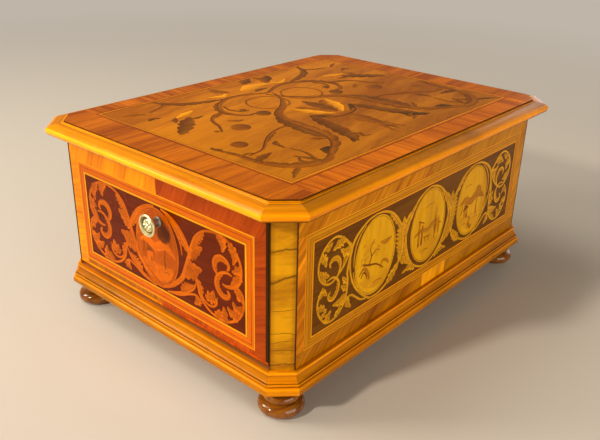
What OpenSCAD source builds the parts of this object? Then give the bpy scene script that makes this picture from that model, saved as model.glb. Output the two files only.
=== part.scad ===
// Key-wind cylinder musical box in a marquetry case with a hinged lid and a fall-front winding door.
// Millimetres. +Z is up, the front faces -Y, the winding door is at the -X end.
// The origin is the middle of the box on the surface that its feet stand on.

/* [Case] */
// Length over the case walls
case_len = 386; // [360:1:430]
// Depth over the case walls
case_dep = 280; // [262:1:320]
// Height of the walls above the base board
wall_h = 143.5; // [136:0.5:170]
// Thickness of the walls
wall_t = 12; // [10:0.5:14]
// Thickness of the veneered panels
veneer_t = 0.8; // [0.5:0.1:1.2]
// Length that each canted corner takes off a side
corner_cut = 13.8; // [12:0.2:16]
// Thickness of the floor board
floor_t = 8; // [6:0.5:9]
// Thickness of the partition behind the winding door
partition_t = 6; // [5:0.5:8]
// Clear depth between the door and the partition
bay_dep = 24; // [22:0.5:30]

/* [Base and feet] */
// Diameter of a turned foot
foot_d = 38.5; // [32:0.5:40]
// Height of a foot
foot_h = 25; // [20:0.5:28]
// Distance from the case sides to the centre of a foot
foot_inset = 15; // [15:0.5:24]
// Thickness of the base board
board_t = 6.7; // [5:0.1:9]
// Overhang of the base board
board_lip = 8.5; // [8:0.1:11]
// Width of the base moulding
base_mould_w = 6.6; // [5:0.1:7.5]
// Height of the base moulding
base_mould_h = 11.9; // [10.5:0.1:13]

/* [Lid] */
// Thickness of the lid board
lid_board_t = 11.1; // [10:0.1:14]
// Overhang of the lid moulding
lid_lip = 16.5; // [13:0.1:19]
// Gap between the lid and the walls
lid_gap = 0.3; // [0.3:0.05:0.6]
// Thickness of the veneered field on top of the lid
field_t = 1.2; // [0.8:0.1:1.8]
// Overhang of the field over the lid board
field_lip = 1.8; // [1:0.1:2.4]
// Length that each canted corner takes off the field
field_cut = 16.2; // [14:0.2:18]
// Length of each hinge
hinge_len = 48; // [36:1:60]
// Radius of the hinge knuckles
knuckle_r = 2.6; // [2.4:0.1:2.8]
// Radius of the hinge pins
hinge_pin_r = 1.3; // [1:0.05:1.5]
// Thickness of the hinge leaves
leaf_t = 1.3; // [1:0.1:1.6]
// Distance from the middle of the lid to each hinge
hinge_x = 115; // [90:1:130]

/* [Winding door] */
// Gap between the door and each post
door_gap = 1.6; // [1:0.1:2]
// Radius of the door's pivot pins
door_pin_r = 1.5; // [1.2:0.1:1.8]
// Height of the knob above the bottom of the door
knob_up = 85.6; // [70:0.2:95]
// Diameter of the knob
knob_d = 20; // [17:0.5:24]
// Distance that the knob stands out from the door
knob_out = 13; // [12:0.2:18]

/* [Movement] */
// Thickness of the bedplate
bed_t = 6; // [5:0.5:7]
// Height of the cylinder's axis above the bedplate
axis_up = 50; // [47:0.5:54]
// Distance of the cylinder's axis in front of the case centre
axis_fwd = 10; // [8:0.5:12]
// Radius of the cylinder
cyl_r = 27; // [26:0.1:27.5]
// Wall of the cylinder
cyl_wall = 2; // [1.2:0.1:3]
// Length of the cylinder
cyl_len = 185; // [180:0.5:185]
// Radius of the cylinder's arbor
cyl_arbor_r = 3; // [2.5:0.1:3.4]
// Height of the pins above the cylinder
pin_h = 1; // [0.7:0.05:1.2]
// Number of comb teeth
comb_teeth = 44; // [30:1:60]
// Length of a comb tooth
tooth_len = 36; // [30:0.5:38]
// Radius of the spring barrel
barrel_r = 33; // [30:0.5:34]
// Width of the spring barrel
barrel_w = 32; // [28:0.5:32]
// Radius of the winding arbor
arbor_r = 4; // [3.4:0.1:4.4]
// Side of the winding square
square_w = 5.6; // [4.4:0.1:5.6]
// Radius of the governor's fly
fly_r = 14; // [11:0.5:15]
// Height of the fly's blades
fly_h = 18; // [12:0.5:20]

/* [Gears] */
// Teeth of the barrel wheel
barrel_teeth = 60; // [56:1:62]
// Leaves of the cylinder pinion
cyl_leaves = 12; // [12:1:13]
// Module of the barrel wheel and the cylinder pinion
barrel_mod = 1.3; // [1.25:0.01:1.32]
// Teeth of the great wheel
great_teeth = 60; // [58:1:61]
// Leaves of the governor's first pinion
first_leaves = 15; // [14:1:16]
// Module of the great wheel and the first pinion
great_mod = 1.2; // [1.18:0.01:1.22]
// Teeth of the governor's first wheel
first_teeth = 36; // [34:1:37]
// Leaves of the governor's second pinion
second_leaves = 12; // [12:1:13]
// Teeth of the governor's second wheel
second_teeth = 20; // [18:1:20]
// Module of the governor's wheels
gov_mod = 1; // [0.98:0.01:1.02]
// Teeth of the winding ratchet
ratchet_teeth = 24; // [24:12:24]
// Radius of the winding ratchet
ratchet_r = 13; // [12:0.1:13.5]

/* [Fits] */
// Radial clearance of a running shaft
run_fit = 0.05; // [0.02:0.01:0.09]
// Gap between pieces that pass each other
pass_gap = 0.35; // [0.3:0.05:0.5]

/* [Hidden] */
$fn = 64;

// Case levels and faces
board_top = foot_h + board_t;
floor_top = board_top + floor_t;
mould_top = board_top + base_mould_h;
wall_top = board_top + wall_h;
lid_bottom = wall_top + lid_gap;
lid_top = lid_bottom + lid_board_t;
half_len = case_len / 2;
half_dep = case_dep / 2;
in_len = half_len - wall_t;
in_dep = half_dep - wall_t;
side_len = half_len - corner_cut;
side_dep = half_dep - corner_cut;
mitre = sqrt(2) - 1;
over = 1;

// Winding door
door_half = side_dep - door_gap;
pivot_x = -half_len + wall_t / 2;
sill_gap = 0.4;
pivot_z = mould_top + sill_gap + wall_t / 2;
door_top = wall_top - 0.2;
pin_reach = 4;
stop_gap = 0.6;
stop_t = wall_t;
knob_z = mould_top + sill_gap + knob_up;

// Lid hinge
hinge_y = half_dep + knuckle_r + 0.4;
hinge_z = (wall_top + lid_bottom) / 2;
leaf_in = 11;
knuckle_third = hinge_len / 3;
hinge_screw_r = 1.6;

// Movement: along the case
part_right = -in_len + bay_dep + partition_t;
part_left = -in_len + bay_dep;
bed_x = part_right + 6;
bed_front = -axis_fwd - 85;
bed_back = -axis_fwd + 109;
bed_top = floor_top + bed_t;
cyl_y = -axis_fwd;
axis_z = bed_top + axis_up;
bridge_t = 6;
plate_t = 3.5;

// Barrel and winding arbor
mesh_play = 0.1;
barrel_pitch = barrel_mod * barrel_teeth / 2;
cyl_pitch = barrel_mod * cyl_leaves / 2;
barrel_y = cyl_y + barrel_pitch + cyl_pitch + mesh_play;
ratchet_x = bed_x - 2.5;
ratchet_t = 3;
barrel_bridge_x = bed_x + 2;
barrel_room = 2;
barrel_x = barrel_bridge_x + bridge_t + barrel_room;
wheel_t = 4;
wheel_x = barrel_x + barrel_w;
barrel_wall = 3;
hub_r = arbor_r + 5;
spring_turns = 7;
spring_thick = 0.9;
square_end = part_left - 14;
click_stud = [23.9, 2.1];
click_stud_r = 2;
bridge_front_reach = 22;
bridge_back_reach = 30;
bridge_head_r = 15;
bridge_shoulder = 16;

// Cylinder, its arbor and its wheels
centre_bridge_x = wheel_x + wheel_t + 4;
cyl_x = centre_bridge_x + bridge_t + 4;
cyl_end = cyl_x + cyl_len;
cap_t = 3;
snail_room = 12;
great_x = cyl_end + snail_room;
great_t = 3;
great_pitch = great_mod * great_teeth / 2;
stop_r = great_pitch - 6;
stop_x = great_x + great_t + 2;
stop_w = 2.5;
stop_room = 6.5;
end_bridge_x = stop_x + stop_w + stop_room;
arbor_end = end_bridge_x + bridge_t;
bed_margin = 23;
bed_end = arbor_end + bed_margin;
bed_len = bed_end - bed_x;
drive_pin_at = 20;
drive_pin_r = 1.5;

// Tune snail on the great wheel
tunes = 6;
tune_step = 0.64;
snail_at = 17;
snail_r = 9.5;
star_r = 11;
snail_stud_r = 1.5;
snail_face = great_x - 4.5;
snail_back = great_x - 0.8;
follower_at = 6.5;
follower_r = 1;

// Governor
first_pitch = great_mod * first_leaves / 2;
first_y = cyl_y + great_pitch + first_pitch + mesh_play;
first_wheel_pitch = gov_mod * first_teeth / 2;
second_pitch = gov_mod * second_leaves / 2;
second_y = first_y + first_wheel_pitch + second_pitch + mesh_play;
second_wheel_pitch = gov_mod * second_teeth / 2;
worm_r = 3.3;
worm_core_r = 2.2;
second_tip = second_wheel_pitch + 0.9 * gov_mod;
worm_y = second_y + second_tip + worm_r + pass_gap;
gov_left = great_x - 9;
gov_right = great_x + 27;
gov_arbor_r = 1.6;
gov_head_r = 8;
worm_len = 18;
worm_x = great_x + 19.5;
second_wheel_t = 3;
fly_low = axis_z + 14;
fly_top = fly_low + fly_h;
bracket_low = axis_z - 16;
bracket_top = fly_top + 4;
bracket_y = worm_y + fly_r + 4;

// Comb
tip_y = cyl_y - cyl_r - pin_h - pass_gap;
root_y = tip_y - tooth_len;
comb_back = root_y - 17;
comb_t = 3.5;
tooth_t = 2;
comb_x0 = cyl_x + 3;
comb_x1 = cyl_end - 3;
comb_pitch = (comb_x1 - comb_x0) / comb_teeth;
slot_w = 0.6;
comb_screw_count = 5;
comb_screw_r = 1.5;
comb_screw_y = (root_y + comb_back) / 2;

// Levers
lever_low = bed_top + 6;
lever_t = 3;
lever_w = 6;
lever_pin_r = 2.5;
stop_lever_y = cyl_y - stop_r - 7;
change_lever_y = stop_lever_y - 14;
lever_pivot_gap = 10;
stop_pivot_x = (bed_x + bed_end - lever_pivot_gap) / 2;
change_pivot_x = stop_pivot_x + lever_pivot_gap;
handle_x = part_left - 14;
handle_r = 4.5;
lever_swing = 5.2;

// Winding key
key_y = 30;
key_z = axis_z + 36;
key_x = part_left - 10;
key_r = 4.5;

function polar(r, a) = [r * cos(a), r * sin(a)];
function arc(cx, cy, rx, ry, a0, a1, n) =
    [for (i = [0 : n]) let (a = a0 + (a1 - a0) * i / n) [cx + rx * cos(a), cy + ry * sin(a)]];
function canted(hx, hy, cut) = [
    [-hx, -hy + cut], [-hx + cut, -hy], [hx - cut, -hy], [hx, -hy + cut],
    [hx, hy - cut], [hx - cut, hy], [-hx + cut, hy], [-hx, hy - cut]];
// Involute angle in degrees at radius r for base radius rb
function roll_angle(rb, r) = r <= rb ? 0 : sqrt(pow(r / rb, 2) - 1) * 180 / PI - acos(rb / r);
function flank(rb, half, r) = half + roll_angle(rb, rb / cos(20)) - roll_angle(rb, r);
function gear_points(mod, n, add, slack) =
    let (rp = mod * n / 2, rb = rp * cos(20), ro = rp + add * mod, rr = rp - 1.2 * mod,
        half = 90 / n - slack / rp * 90 / PI,
        radii = [rr, max(rr + 0.2 * mod, rb), rp, (rp + ro) / 2, ro])
    [for (k = [0 : n - 1], s = [-1, 1], i = [0 : 4])
        let (r = s < 0 ? radii[i] : radii[4 - i]) polar(r, 360 * k / n + s * flank(rb, half, r))];

// Turn a shape drawn in local x, y so that x lies along +Y, y along +Z and its height along +X
module along_x(x, y, z) {
    translate([x, y, z]) rotate([90, 0, 90]) children();
}
// The same for a shape whose height lies along +Y
module along_y(x, y, z) {
    translate([x, y, z]) rotate([-90, 0, 0]) children();
}
module block(x0, x1, y0, y1, z0, z1) {
    translate([x0, y0, z0]) cube([x1 - x0, y1 - y0, z1 - z0]);
}
module slab(points, z0, z1) {
    translate([0, 0, z0]) linear_extrude(z1 - z0) polygon(points);
}
module both_sides() {
    children();
    mirror([0, 1, 0]) children();
}
module gear(mod, n, add, slack, t) {
    linear_extrude(t) polygon(gear_points(mod, n, add, slack));
}

// Moulding profiles: x is the distance out from the wall, y the height
function base_profile() = concat(
    [[0, 0], [base_mould_w, 0], [base_mould_w, 1.5], [base_mould_w - 0.5, 1.7]],
    arc(base_mould_w + 0.2, 3.9, 1.9, 2.2, 250, 180, 3),
    [[base_mould_w - 1.4, 4.1], [base_mould_w - 1.4, 5]],
    arc(base_mould_w - 3.3, 5, 1.7, 2.4, 0, 80, 4),
    arc(2.6 + 1.9, base_mould_h - 2, 1.9, 2.6, 235, 180, 3),
    [[2.6, base_mould_h], [0, base_mould_h]]);
lid_edge_z = 5.5;
function lid_profile() = concat(
    [[0, 0], [lid_lip - 4.5, 0]],
    arc(lid_lip - 4.2, lid_edge_z - 0.4, 4.2, 4.9, 285, 360, 5),
    arc(field_lip + 2, lid_edge_z, lid_lip - field_lip - 2, lid_board_t - 0.9 - lid_edge_z, 6, 90, 9),
    [[field_lip + 2, lid_board_t - 0.5], [field_lip + 0.5, lid_board_t - 0.5],
        [field_lip + 0.5, lid_board_t], [0, lid_board_t]]);
// A length of moulding on the -Y face, cut square and long, before its mitres are sawn
module strip(profile, reach) {
    rotate([90, 0, 90]) translate([0, 0, -reach]) linear_extrude(2 * reach) mirror([1, 0]) polygon(profile);
}
module side_moulding(profile, half_side, y_face, lip) {
    out = lip + over;
    intersection() {
        translate([0, -y_face, 0]) strip(profile, half_side + out);
        slab([[-half_side, -y_face + over], [-half_side, -y_face], [-half_side - out * mitre, -y_face - out],
            [half_side + out * mitre, -y_face - out], [half_side, -y_face], [half_side, -y_face + over]],
            -over, base_mould_h + lid_board_t);
    }
}
module corner_moulding(profile, lip) {
    face = corner_cut / sqrt(2);
    out = lip + over;
    translate([half_len - corner_cut / 2, -half_dep + corner_cut / 2, 0]) rotate([0, 0, 45])
        intersection() {
            strip(profile, face + out);
            slab([[-face, over], [-face, 0], [-face - out * mitre, -out], [face + out * mitre, -out],
                [face, 0], [face, over]], -over, base_mould_h + lid_board_t);
        }
}
module four_corners() {
    for (mx = [0, 1], my = [0, 1]) mirror([mx, 0, 0]) mirror([0, my, 0]) children();
}

// ---- Case ----
module base_board() {
    cut = corner_cut + (2 - sqrt(2)) * board_lip;
    color("#c97d12") slab(canted(half_len + board_lip, half_dep + board_lip, cut), foot_h, board_top);
}
module foot() {
    r = foot_d / 2;
    bun = foot_h * 0.265;
    neck = r - 8.2;
    rotate_extrude() polygon(concat(
        [[0, 0], [r - bun, 0]],
        arc(r - bun, bun, bun, bun, -90, 90, 14),
        arc(r - 7.6, foot_h * 0.68, 2.4, foot_h * 0.12, -80, 80, 8),
        [[neck, foot_h * 0.82], [neck, foot_h * 0.9], [neck + 1.4, foot_h], [0, foot_h]]));
}
module feet() {
    color("#6e2a0d") four_corners() translate([half_len - foot_inset, half_dep - foot_inset, 0]) foot();
}
module floor_board() {
    color("#8a5a2c") block(-in_len, in_len, -in_dep, in_dep, board_top, floor_top);
}
module front_wall() {
    color("#8a5a2c") block(-side_len, side_len, -half_dep + veneer_t, -in_dep, board_top, wall_top);
}
module back_wall() {
    color("#8a5a2c") difference() {
        block(-side_len, side_len, in_dep, half_dep - veneer_t, board_top, wall_top);
        for (s = [-1, 1])
            block(s * hinge_x - hinge_len / 2, s * hinge_x + hinge_len / 2,
                half_dep - leaf_in, half_dep + over, wall_top - leaf_t, wall_top + over);
        for (s = [-1, 1], k = [-1, 0, 1])
            translate([s * hinge_x + k * knuckle_third, half_dep - leaf_in / 2, wall_top - 12])
                cylinder(r = hinge_screw_r / 2, h = 12);
    }
}
module end_wall() {
    color("#8a5a2c") block(in_len, half_len - veneer_t, -side_dep, side_dep, board_top, wall_top);
}
module door_sill() {
    color("#8a5a2c") block(-half_len, -in_len, -side_dep, side_dep, board_top, mould_top);
}
// Post at the +X, -Y corner; stop_face is the x of the face that the door or wall meets
module post(stop_face) {
    slab([[half_len, -side_dep], [side_len, -half_dep], [side_len, -in_dep], [side_len - stop_t, -in_dep],
        [side_len - stop_t, -in_dep + stop_t], [stop_face, -in_dep + stop_t], [stop_face, -side_dep]],
        board_top, wall_top);
}
// A corner of the floor board and sill meets the post, so each post is cut over them
module corner_seats() {
    block(-in_len - over, in_len + over, -in_dep, in_dep, board_top - over, floor_top);
}
module door_posts() {
    color("#c8891a") mirror([1, 0, 0]) both_sides() difference() {
        post(in_len - stop_gap);
        corner_seats();
        along_y(-pivot_x, -side_dep - pin_reach - 0.3, pivot_z)
            cylinder(r = door_pin_r + run_fit, h = pin_reach + 0.3 + over);
    }
}
module end_posts() {
    color("#c8891a") both_sides() difference() {
        post(in_len);
        corner_seats();
    }
}
module base_moulding() {
    color("#d08a1c") translate([0, 0, board_top]) {
        both_sides() side_moulding(base_profile(), side_len, half_dep, base_mould_w);
        for (a = [90, 270]) rotate([0, 0, a]) side_moulding(base_profile(), side_dep, half_len, base_mould_w);
    }
}
module base_moulding_corners() {
    color("#d08a1c") translate([0, 0, board_top])
        four_corners() corner_moulding(base_profile(), base_mould_w);
}
module front_veneer() {
    color("#8a3f12") block(-side_len, side_len, -half_dep, -half_dep + veneer_t, mould_top, wall_top);
}
module back_veneer() {
    color("#8a3f12") difference() {
        block(-side_len, side_len, half_dep - veneer_t, half_dep, mould_top, wall_top);
        for (s = [-1, 1])
            block(s * hinge_x - hinge_len / 2, s * hinge_x + hinge_len / 2,
                half_dep - leaf_in, half_dep + over, wall_top - leaf_t, wall_top + over);
    }
}
module end_veneer() {
    color("#8a3f12") block(half_len - veneer_t, half_len, -side_dep, side_dep, mould_top, wall_top);
}
module partition() {
    slot_low = lever_low - 1;
    slot_top = lever_low + lever_t + 1;
    color("#a8743a") difference() {
        block(part_left, part_right, -in_dep, in_dep, floor_top, wall_top - 5);
        along_x(part_left - over, barrel_y, axis_z) cylinder(r = arbor_r + 3, h = partition_t + 2 * over);
        for (y = [stop_lever_y, change_lever_y])
            block(part_left - over, part_right + over, y - lever_w / 2 - lever_swing - 1,
                y + lever_w / 2 + 1, slot_low, slot_top);
    }
}

// ---- Winding key in its clips ----
module winding_key() {
    stem = 34;
    bow_y = key_y + stem + 9;
    color("#b98a3a") difference() {
        union() {
            along_y(key_x, key_y, key_z) cylinder(r = key_r, h = stem);
            for (s = [-1, 1]) along_x(key_x - 1.5, bow_y, key_z + s * 9) cylinder(r = 11, h = 3);
            block(key_x - 1.5, key_x + 1.5, key_y + stem - 2, bow_y + 6, key_z - 9, key_z + 9);
        }
        for (s = [-1, 1]) along_x(key_x - 1.5 - over, bow_y, key_z + s * 10.5)
            cylinder(r = 5, h = 3 + 2 * over);
        translate([key_x, key_y + 6, key_z]) cube([square_w + 0.3, 14, square_w + 0.3], center = true);
    }
}
module key_clips() {
    clip_w = 4;
    color("#c9a24a") for (y = [key_y + 16, key_y + 27]) difference() {
        block(key_x - key_r + 1, part_left, y - clip_w / 2, y + clip_w / 2, key_z - key_r - 1.5, key_z + key_r + 1.5);
        along_y(key_x, y - clip_w, key_z) cylinder(r = key_r, h = 2 * clip_w);
        block(key_x - key_r - over, key_x - 2, y - clip_w, y + clip_w, key_z - 3.4, key_z + 3.4);
    }
}

// ---- Lid hinges ----
module knuckles(part) {
    for (s = [-1, 1], k = part == "lid" ? [0] : [-1, 1])
        translate([s * hinge_x + k * knuckle_third, hinge_y, hinge_z]) rotate([0, 90, 0])
            cylinder(r = knuckle_r, h = knuckle_third - 0.6, center = true);
}
module knuckle_bore(r) {
    for (s = [-1, 1]) translate([s * hinge_x, hinge_y, hinge_z]) rotate([0, 90, 0])
        cylinder(r = r, h = hinge_len + 2 * over, center = true);
}
module leaf_screws(z, gap) {
    for (s = [-1, 1], k = [-1, 0, 1]) translate([s * hinge_x + k * knuckle_third, half_dep - leaf_in / 2, z])
        mirror([0, 0, gap < 0 ? 1 : 0]) {
            translate([0, 0, -leaf_t]) cylinder(r1 = hinge_screw_r / 2, r2 = hinge_screw_r, h = leaf_t);
            translate([0, 0, -9]) cylinder(r = hinge_screw_r / 2, h = 9);
        }
}
module hinge_case_leaves() {
    color("#b08a3c") difference() {
        union() {
            for (s = [-1, 1])
                block(s * hinge_x - hinge_len / 2, s * hinge_x + hinge_len / 2,
                    half_dep - leaf_in, half_dep, wall_top - leaf_t, wall_top);
            for (s = [-1, 1], k = [-1, 1])
                translate([s * hinge_x + k * knuckle_third - knuckle_third / 2 + 0.3, half_dep - 0.5,
                    wall_top - leaf_t]) cube([knuckle_third - 0.6, hinge_y - half_dep + 0.5, leaf_t]);
            knuckles("case");
        }
        knuckle_bore(hinge_pin_r);
        leaf_screws(wall_top, 1);
    }
}
module hinge_pins() {
    color("#8f8a80") for (s = [-1, 1]) translate([s * hinge_x, hinge_y, hinge_z]) rotate([0, 90, 0])
        cylinder(r = hinge_pin_r, h = hinge_len, center = true);
}
module hinge_case_screws() {
    color("#c9a24a") leaf_screws(wall_top, 1);
}
module hinge_lid_leaves() {
    color("#b08a3c") difference() {
        union() {
            for (s = [-1, 1])
                block(s * hinge_x - hinge_len / 2, s * hinge_x + hinge_len / 2,
                    half_dep - leaf_in, half_dep, lid_bottom, lid_bottom + leaf_t);
            for (s = [-1, 1]) translate([s * hinge_x - knuckle_third / 2 + 0.3, half_dep - 0.5, lid_bottom])
                cube([knuckle_third - 0.6, hinge_y - half_dep + 0.5, leaf_t]);
            knuckles("lid");
        }
        knuckle_bore(hinge_pin_r + run_fit);
        leaf_screws(lid_bottom, -1);
    }
}
module hinge_lid_screws() {
    color("#c9a24a") leaf_screws(lid_bottom, -1);
}

// ---- Lid ----
module lid_board() {
    color("#8a5a2c") difference() {
        slab(canted(half_len, half_dep, corner_cut), lid_bottom, lid_top);
        for (s = [-1, 1]) {
            block(s * hinge_x - hinge_len / 2, s * hinge_x + hinge_len / 2,
                half_dep - leaf_in, half_dep + over, lid_bottom - over, lid_bottom + leaf_t);
            for (k = [-1, 0, 1])
                translate([s * hinge_x + k * knuckle_third, half_dep - leaf_in / 2, lid_bottom])
                    cylinder(r = hinge_screw_r / 2, h = 9);
        }
    }
}
module lid_veneer() {
    color("#a85a18") slab(canted(half_len + field_lip, half_dep + field_lip, field_cut), lid_top, lid_top + field_t);
}
module lid_moulding_front() {
    color("#d8901c") translate([0, 0, lid_bottom]) side_moulding(lid_profile(), side_len, half_dep, lid_lip);
}
module lid_moulding_back() {
    color("#d8901c") difference() {
        translate([0, 0, lid_bottom]) mirror([0, 1, 0])
            side_moulding(lid_profile(), side_len, half_dep, lid_lip);
        for (s = [-1, 1])
            block(s * hinge_x - hinge_len / 2 - 0.5, s * hinge_x + hinge_len / 2 + 0.5, half_dep - over,
                hinge_y + knuckle_r + 0.5, lid_bottom - over, hinge_z + knuckle_r + 0.5);
    }
}
module lid_moulding_ends() {
    color("#d8901c") translate([0, 0, lid_bottom]) for (a = [90, 270]) rotate([0, 0, a])
        side_moulding(lid_profile(), side_dep, half_len, lid_lip);
}
module lid_moulding_corners() {
    color("#d8901c") translate([0, 0, lid_bottom]) four_corners() corner_moulding(lid_profile(), lid_lip);
}

// ---- Winding door ----
module door_board() {
    color("#8a5a2c") difference() {
        union() {
            block(-half_len + veneer_t, -in_len, -door_half, door_half, pivot_z, door_top);
            along_y(pivot_x, -door_half, pivot_z) cylinder(r = wall_t / 2, h = 2 * door_half);
        }
        for (s = [-1, 1]) along_y(pivot_x, s * door_half - 10, pivot_z) cylinder(r = door_pin_r, h = 20);
        along_x(-half_len - over, 0, knob_z) cylinder(r = 2, h = wall_t + 2 * over);
        block(-half_len - over, -half_len + veneer_t, -door_half - over, door_half + over, pivot_z, door_top + over);
    }
}
module door_veneer() {
    color("#b04a10") difference() {
        block(-half_len, -half_len + veneer_t, -door_half, door_half, pivot_z, door_top);
        along_x(-half_len - over, 0, knob_z) cylinder(r = 2, h = wall_t);
    }
}
module door_pivots() {
    color("#b08a3c") both_sides() along_y(pivot_x, -side_dep - pin_reach, pivot_z)
        cylinder(r = door_pin_r, h = pin_reach + door_gap + 10);
}
module door_knob() {
    r = knob_d / 2;
    rim = knob_out;
    color("#d8c88a") translate([-half_len, 0, knob_z]) rotate([0, -90, 0]) rotate_extrude()
        polygon([[2, 0], [4.4, 0], [4.4, 0.8], [3.4, 1.4], [3.2, rim - 6], [4.4, rim - 4.6], [r - 0.8, rim - 3.2],
            [r, rim - 2.2], [r, rim - 0.8], [r - 0.5, rim], [r - 1.2, rim], [r - 1.9, rim - 1.2],
            [3.4, rim - 1.6], [3, rim - 0.6], [2, rim], [0, rim + 0.2], [0, 8], [2, 8]]);
}
module knob_screw() {
    color("#c9a24a") along_x(-half_len - 8, 0, knob_z) {
        cylinder(r = 2, h = wall_t + 8);
        translate([0, 0, wall_t + 8]) cylinder(r1 = 4, r2 = 3, h = 1.8);
    }
}

// ---- Bedplate, bridges and frames ----
bed_screw_inset = 9;
module bed_screw_places() {
    for (x = [bed_x + bed_screw_inset, bed_end - bed_screw_inset],
        y = [bed_front + bed_screw_inset, bed_back - bed_screw_inset]) translate([x, y, 0]) children();
}
module lever_post(x, y) {
    translate([x, y, bed_top]) {
        cylinder(r = lever_w, h = lever_low - bed_top - 0.3);
        cylinder(r = lever_pin_r, h = lever_low - bed_top + lever_t + 1.5);
    }
}
module bedplate() {
    color("#c9a24a") {
        difference() {
            slab([for (p = canted((bed_len) / 2, (bed_back - bed_front) / 2, 6))
                [p[0] + (bed_x + bed_end) / 2, p[1] + (bed_front + bed_back) / 2]], floor_top, bed_top);
            bed_screw_places() translate([0, 0, floor_top - over]) cylinder(r = 2.2, h = bed_t + 2 * over);
        }
        lever_post(stop_pivot_x, stop_lever_y);
        lever_post(change_pivot_x, change_lever_y);
    }
}
module bed_screws() {
    color("#3f4a5a") bed_screw_places() difference() {
        union() {
            translate([0, 0, bed_top]) cylinder(r = 4.5, h = 2.6);
            translate([0, 0, floor_top]) cylinder(r = 2.2, h = bed_t);
        }
        translate([0, 0, bed_top + 2.6]) cube([10, 1, 2], center = true);
    }
}
// A standing plate with a foot; its face is drawn in local y, z
module standing_plate(x, t, foot_t, y0, y1, top_points) {
    along_x(x, 0, 0) linear_extrude(t) polygon(concat([[y0, bed_top], [y1, bed_top]], top_points));
    block(x - foot_t, x + t + foot_t, y0, y1, bed_top, bed_top + 5);
}
module barrel_bridge() {
    color("#d2ab52") {
        difference() {
            standing_plate(barrel_bridge_x, bridge_t, 0, barrel_y - bridge_front_reach, barrel_y + bridge_back_reach,
                concat([[barrel_y + bridge_back_reach, axis_z + arbor_r]],
                    arc(barrel_y, axis_z, bridge_head_r, bridge_head_r, 20, 180, 12),
                    [[barrel_y - bridge_front_reach, bed_top + bridge_shoulder]]));
            along_x(barrel_bridge_x - over, barrel_y, axis_z)
                cylinder(r = arbor_r + run_fit, h = bridge_t + 2 * over);
        }
        along_x(ratchet_x - 0.8, barrel_y + click_stud[0], axis_z + click_stud[1])
            cylinder(r = click_stud_r, h = barrel_bridge_x - ratchet_x + 0.8);
    }
}
module centre_bridge() {
    color("#d2ab52") difference() {
        standing_plate(centre_bridge_x, bridge_t, 0, cyl_y - 16, barrel_y + 16,
            concat(arc(barrel_y, axis_z, 12, 12, 0, 90, 6), arc(cyl_y, axis_z, 12, 12, 90, 180, 6)));
        along_x(centre_bridge_x - over, cyl_y, axis_z)
            cylinder(r = cyl_arbor_r + run_fit, h = bridge_t + 2 * over);
        along_x(centre_bridge_x - over, barrel_y, axis_z)
            cylinder(r = arbor_r + run_fit, h = bridge_t + 2 * over);
        along_x(centre_bridge_x - over, (cyl_y + barrel_y) / 2, (bed_top + axis_z) / 2 + 2)
            cylinder(r = 12, h = bridge_t + 2 * over);
    }
}
module end_bridge() {
    color("#d2ab52") difference() {
        standing_plate(end_bridge_x, bridge_t, 2, cyl_y - 15, cyl_y + 15,
            arc(cyl_y, axis_z, 11, 11, 0, 180, 12));
        along_x(end_bridge_x - over, cyl_y, axis_z)
            cylinder(r = cyl_arbor_r + run_fit, h = bridge_t + 2 * over);
    }
}
module governor_frame() {
    y0 = first_y - gov_head_r;
    y1 = second_y + gov_head_r;
    color("#d2ab52") {
        for (x = [gov_left, gov_right - plate_t]) difference() {
            along_x(x, 0, 0) linear_extrude(plate_t) polygon(concat([[y0, bed_top], [y1, bed_top]],
                arc(second_y, axis_z, gov_head_r, gov_head_r, 0, 90, 5),
                arc(first_y, axis_z, gov_head_r, gov_head_r, 90, 180, 5)));
            for (y = [first_y, second_y]) along_x(x - over, y, axis_z)
                cylinder(r = gov_arbor_r + run_fit, h = plate_t + 2 * over);
        }
        block(gov_left, gov_right, y0, y1, bed_top, bed_top + 4);
    }
}
module endless_bracket() {
    w = 5;
    color("#d2ab52") difference() {
        union() {
            block(worm_x - w, worm_x + w, bracket_y, bracket_y + 5, bed_top, bracket_top);
            block(worm_x - w, worm_x + w, worm_y, bracket_y + 2, bracket_low, bracket_low + 4);
            block(worm_x - w, worm_x + w, worm_y, bracket_y + 2, bracket_top - 3, bracket_top);
            for (z = [bracket_low, bracket_top - 3]) translate([worm_x, worm_y, z])
                cylinder(r = w, h = z == bracket_low ? 4 : 3);
            block(worm_x - 8, worm_x + 8, bracket_y - 3, bracket_y + 5, bed_top, bed_top + 4);
        }
        translate([worm_x, worm_y, bracket_low - over])
            cylinder(r = 1.2 + run_fit, h = bracket_top - bracket_low + 2 * over);
    }
}

// ---- Comb ----
module comb_screw_places() {
    for (i = [0 : comb_screw_count - 1])
        translate([comb_x0 + (comb_x1 - comb_x0) * (i + 0.5) / comb_screw_count, comb_screw_y, 0]) children();
}
module comb() {
    teeth = [for (i = [0 : comb_teeth - 1], e = [[0, 0], [0, 1], [1, 1], [1, 0]])
        [comb_x0 + comb_pitch * (i + e[0]) + (e[0] == 0 ? slot_w / 2 : -slot_w / 2), e[1] == 1 ? tip_y : root_y]];
    color("#a9adb5") difference() {
        union() {
            slab(concat([[comb_x0, comb_back]], [[comb_x0, root_y]], teeth, [[comb_x1, root_y], [comb_x1, comb_back]]),
                axis_z - tooth_t, axis_z);
            block(comb_x0, comb_x1, comb_back, root_y, axis_z - comb_t, axis_z);
        }
        comb_screw_places() translate([0, 0, axis_z - comb_t - over])
            cylinder(r = comb_screw_r, h = comb_t + 2 * over);
    }
}
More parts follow.
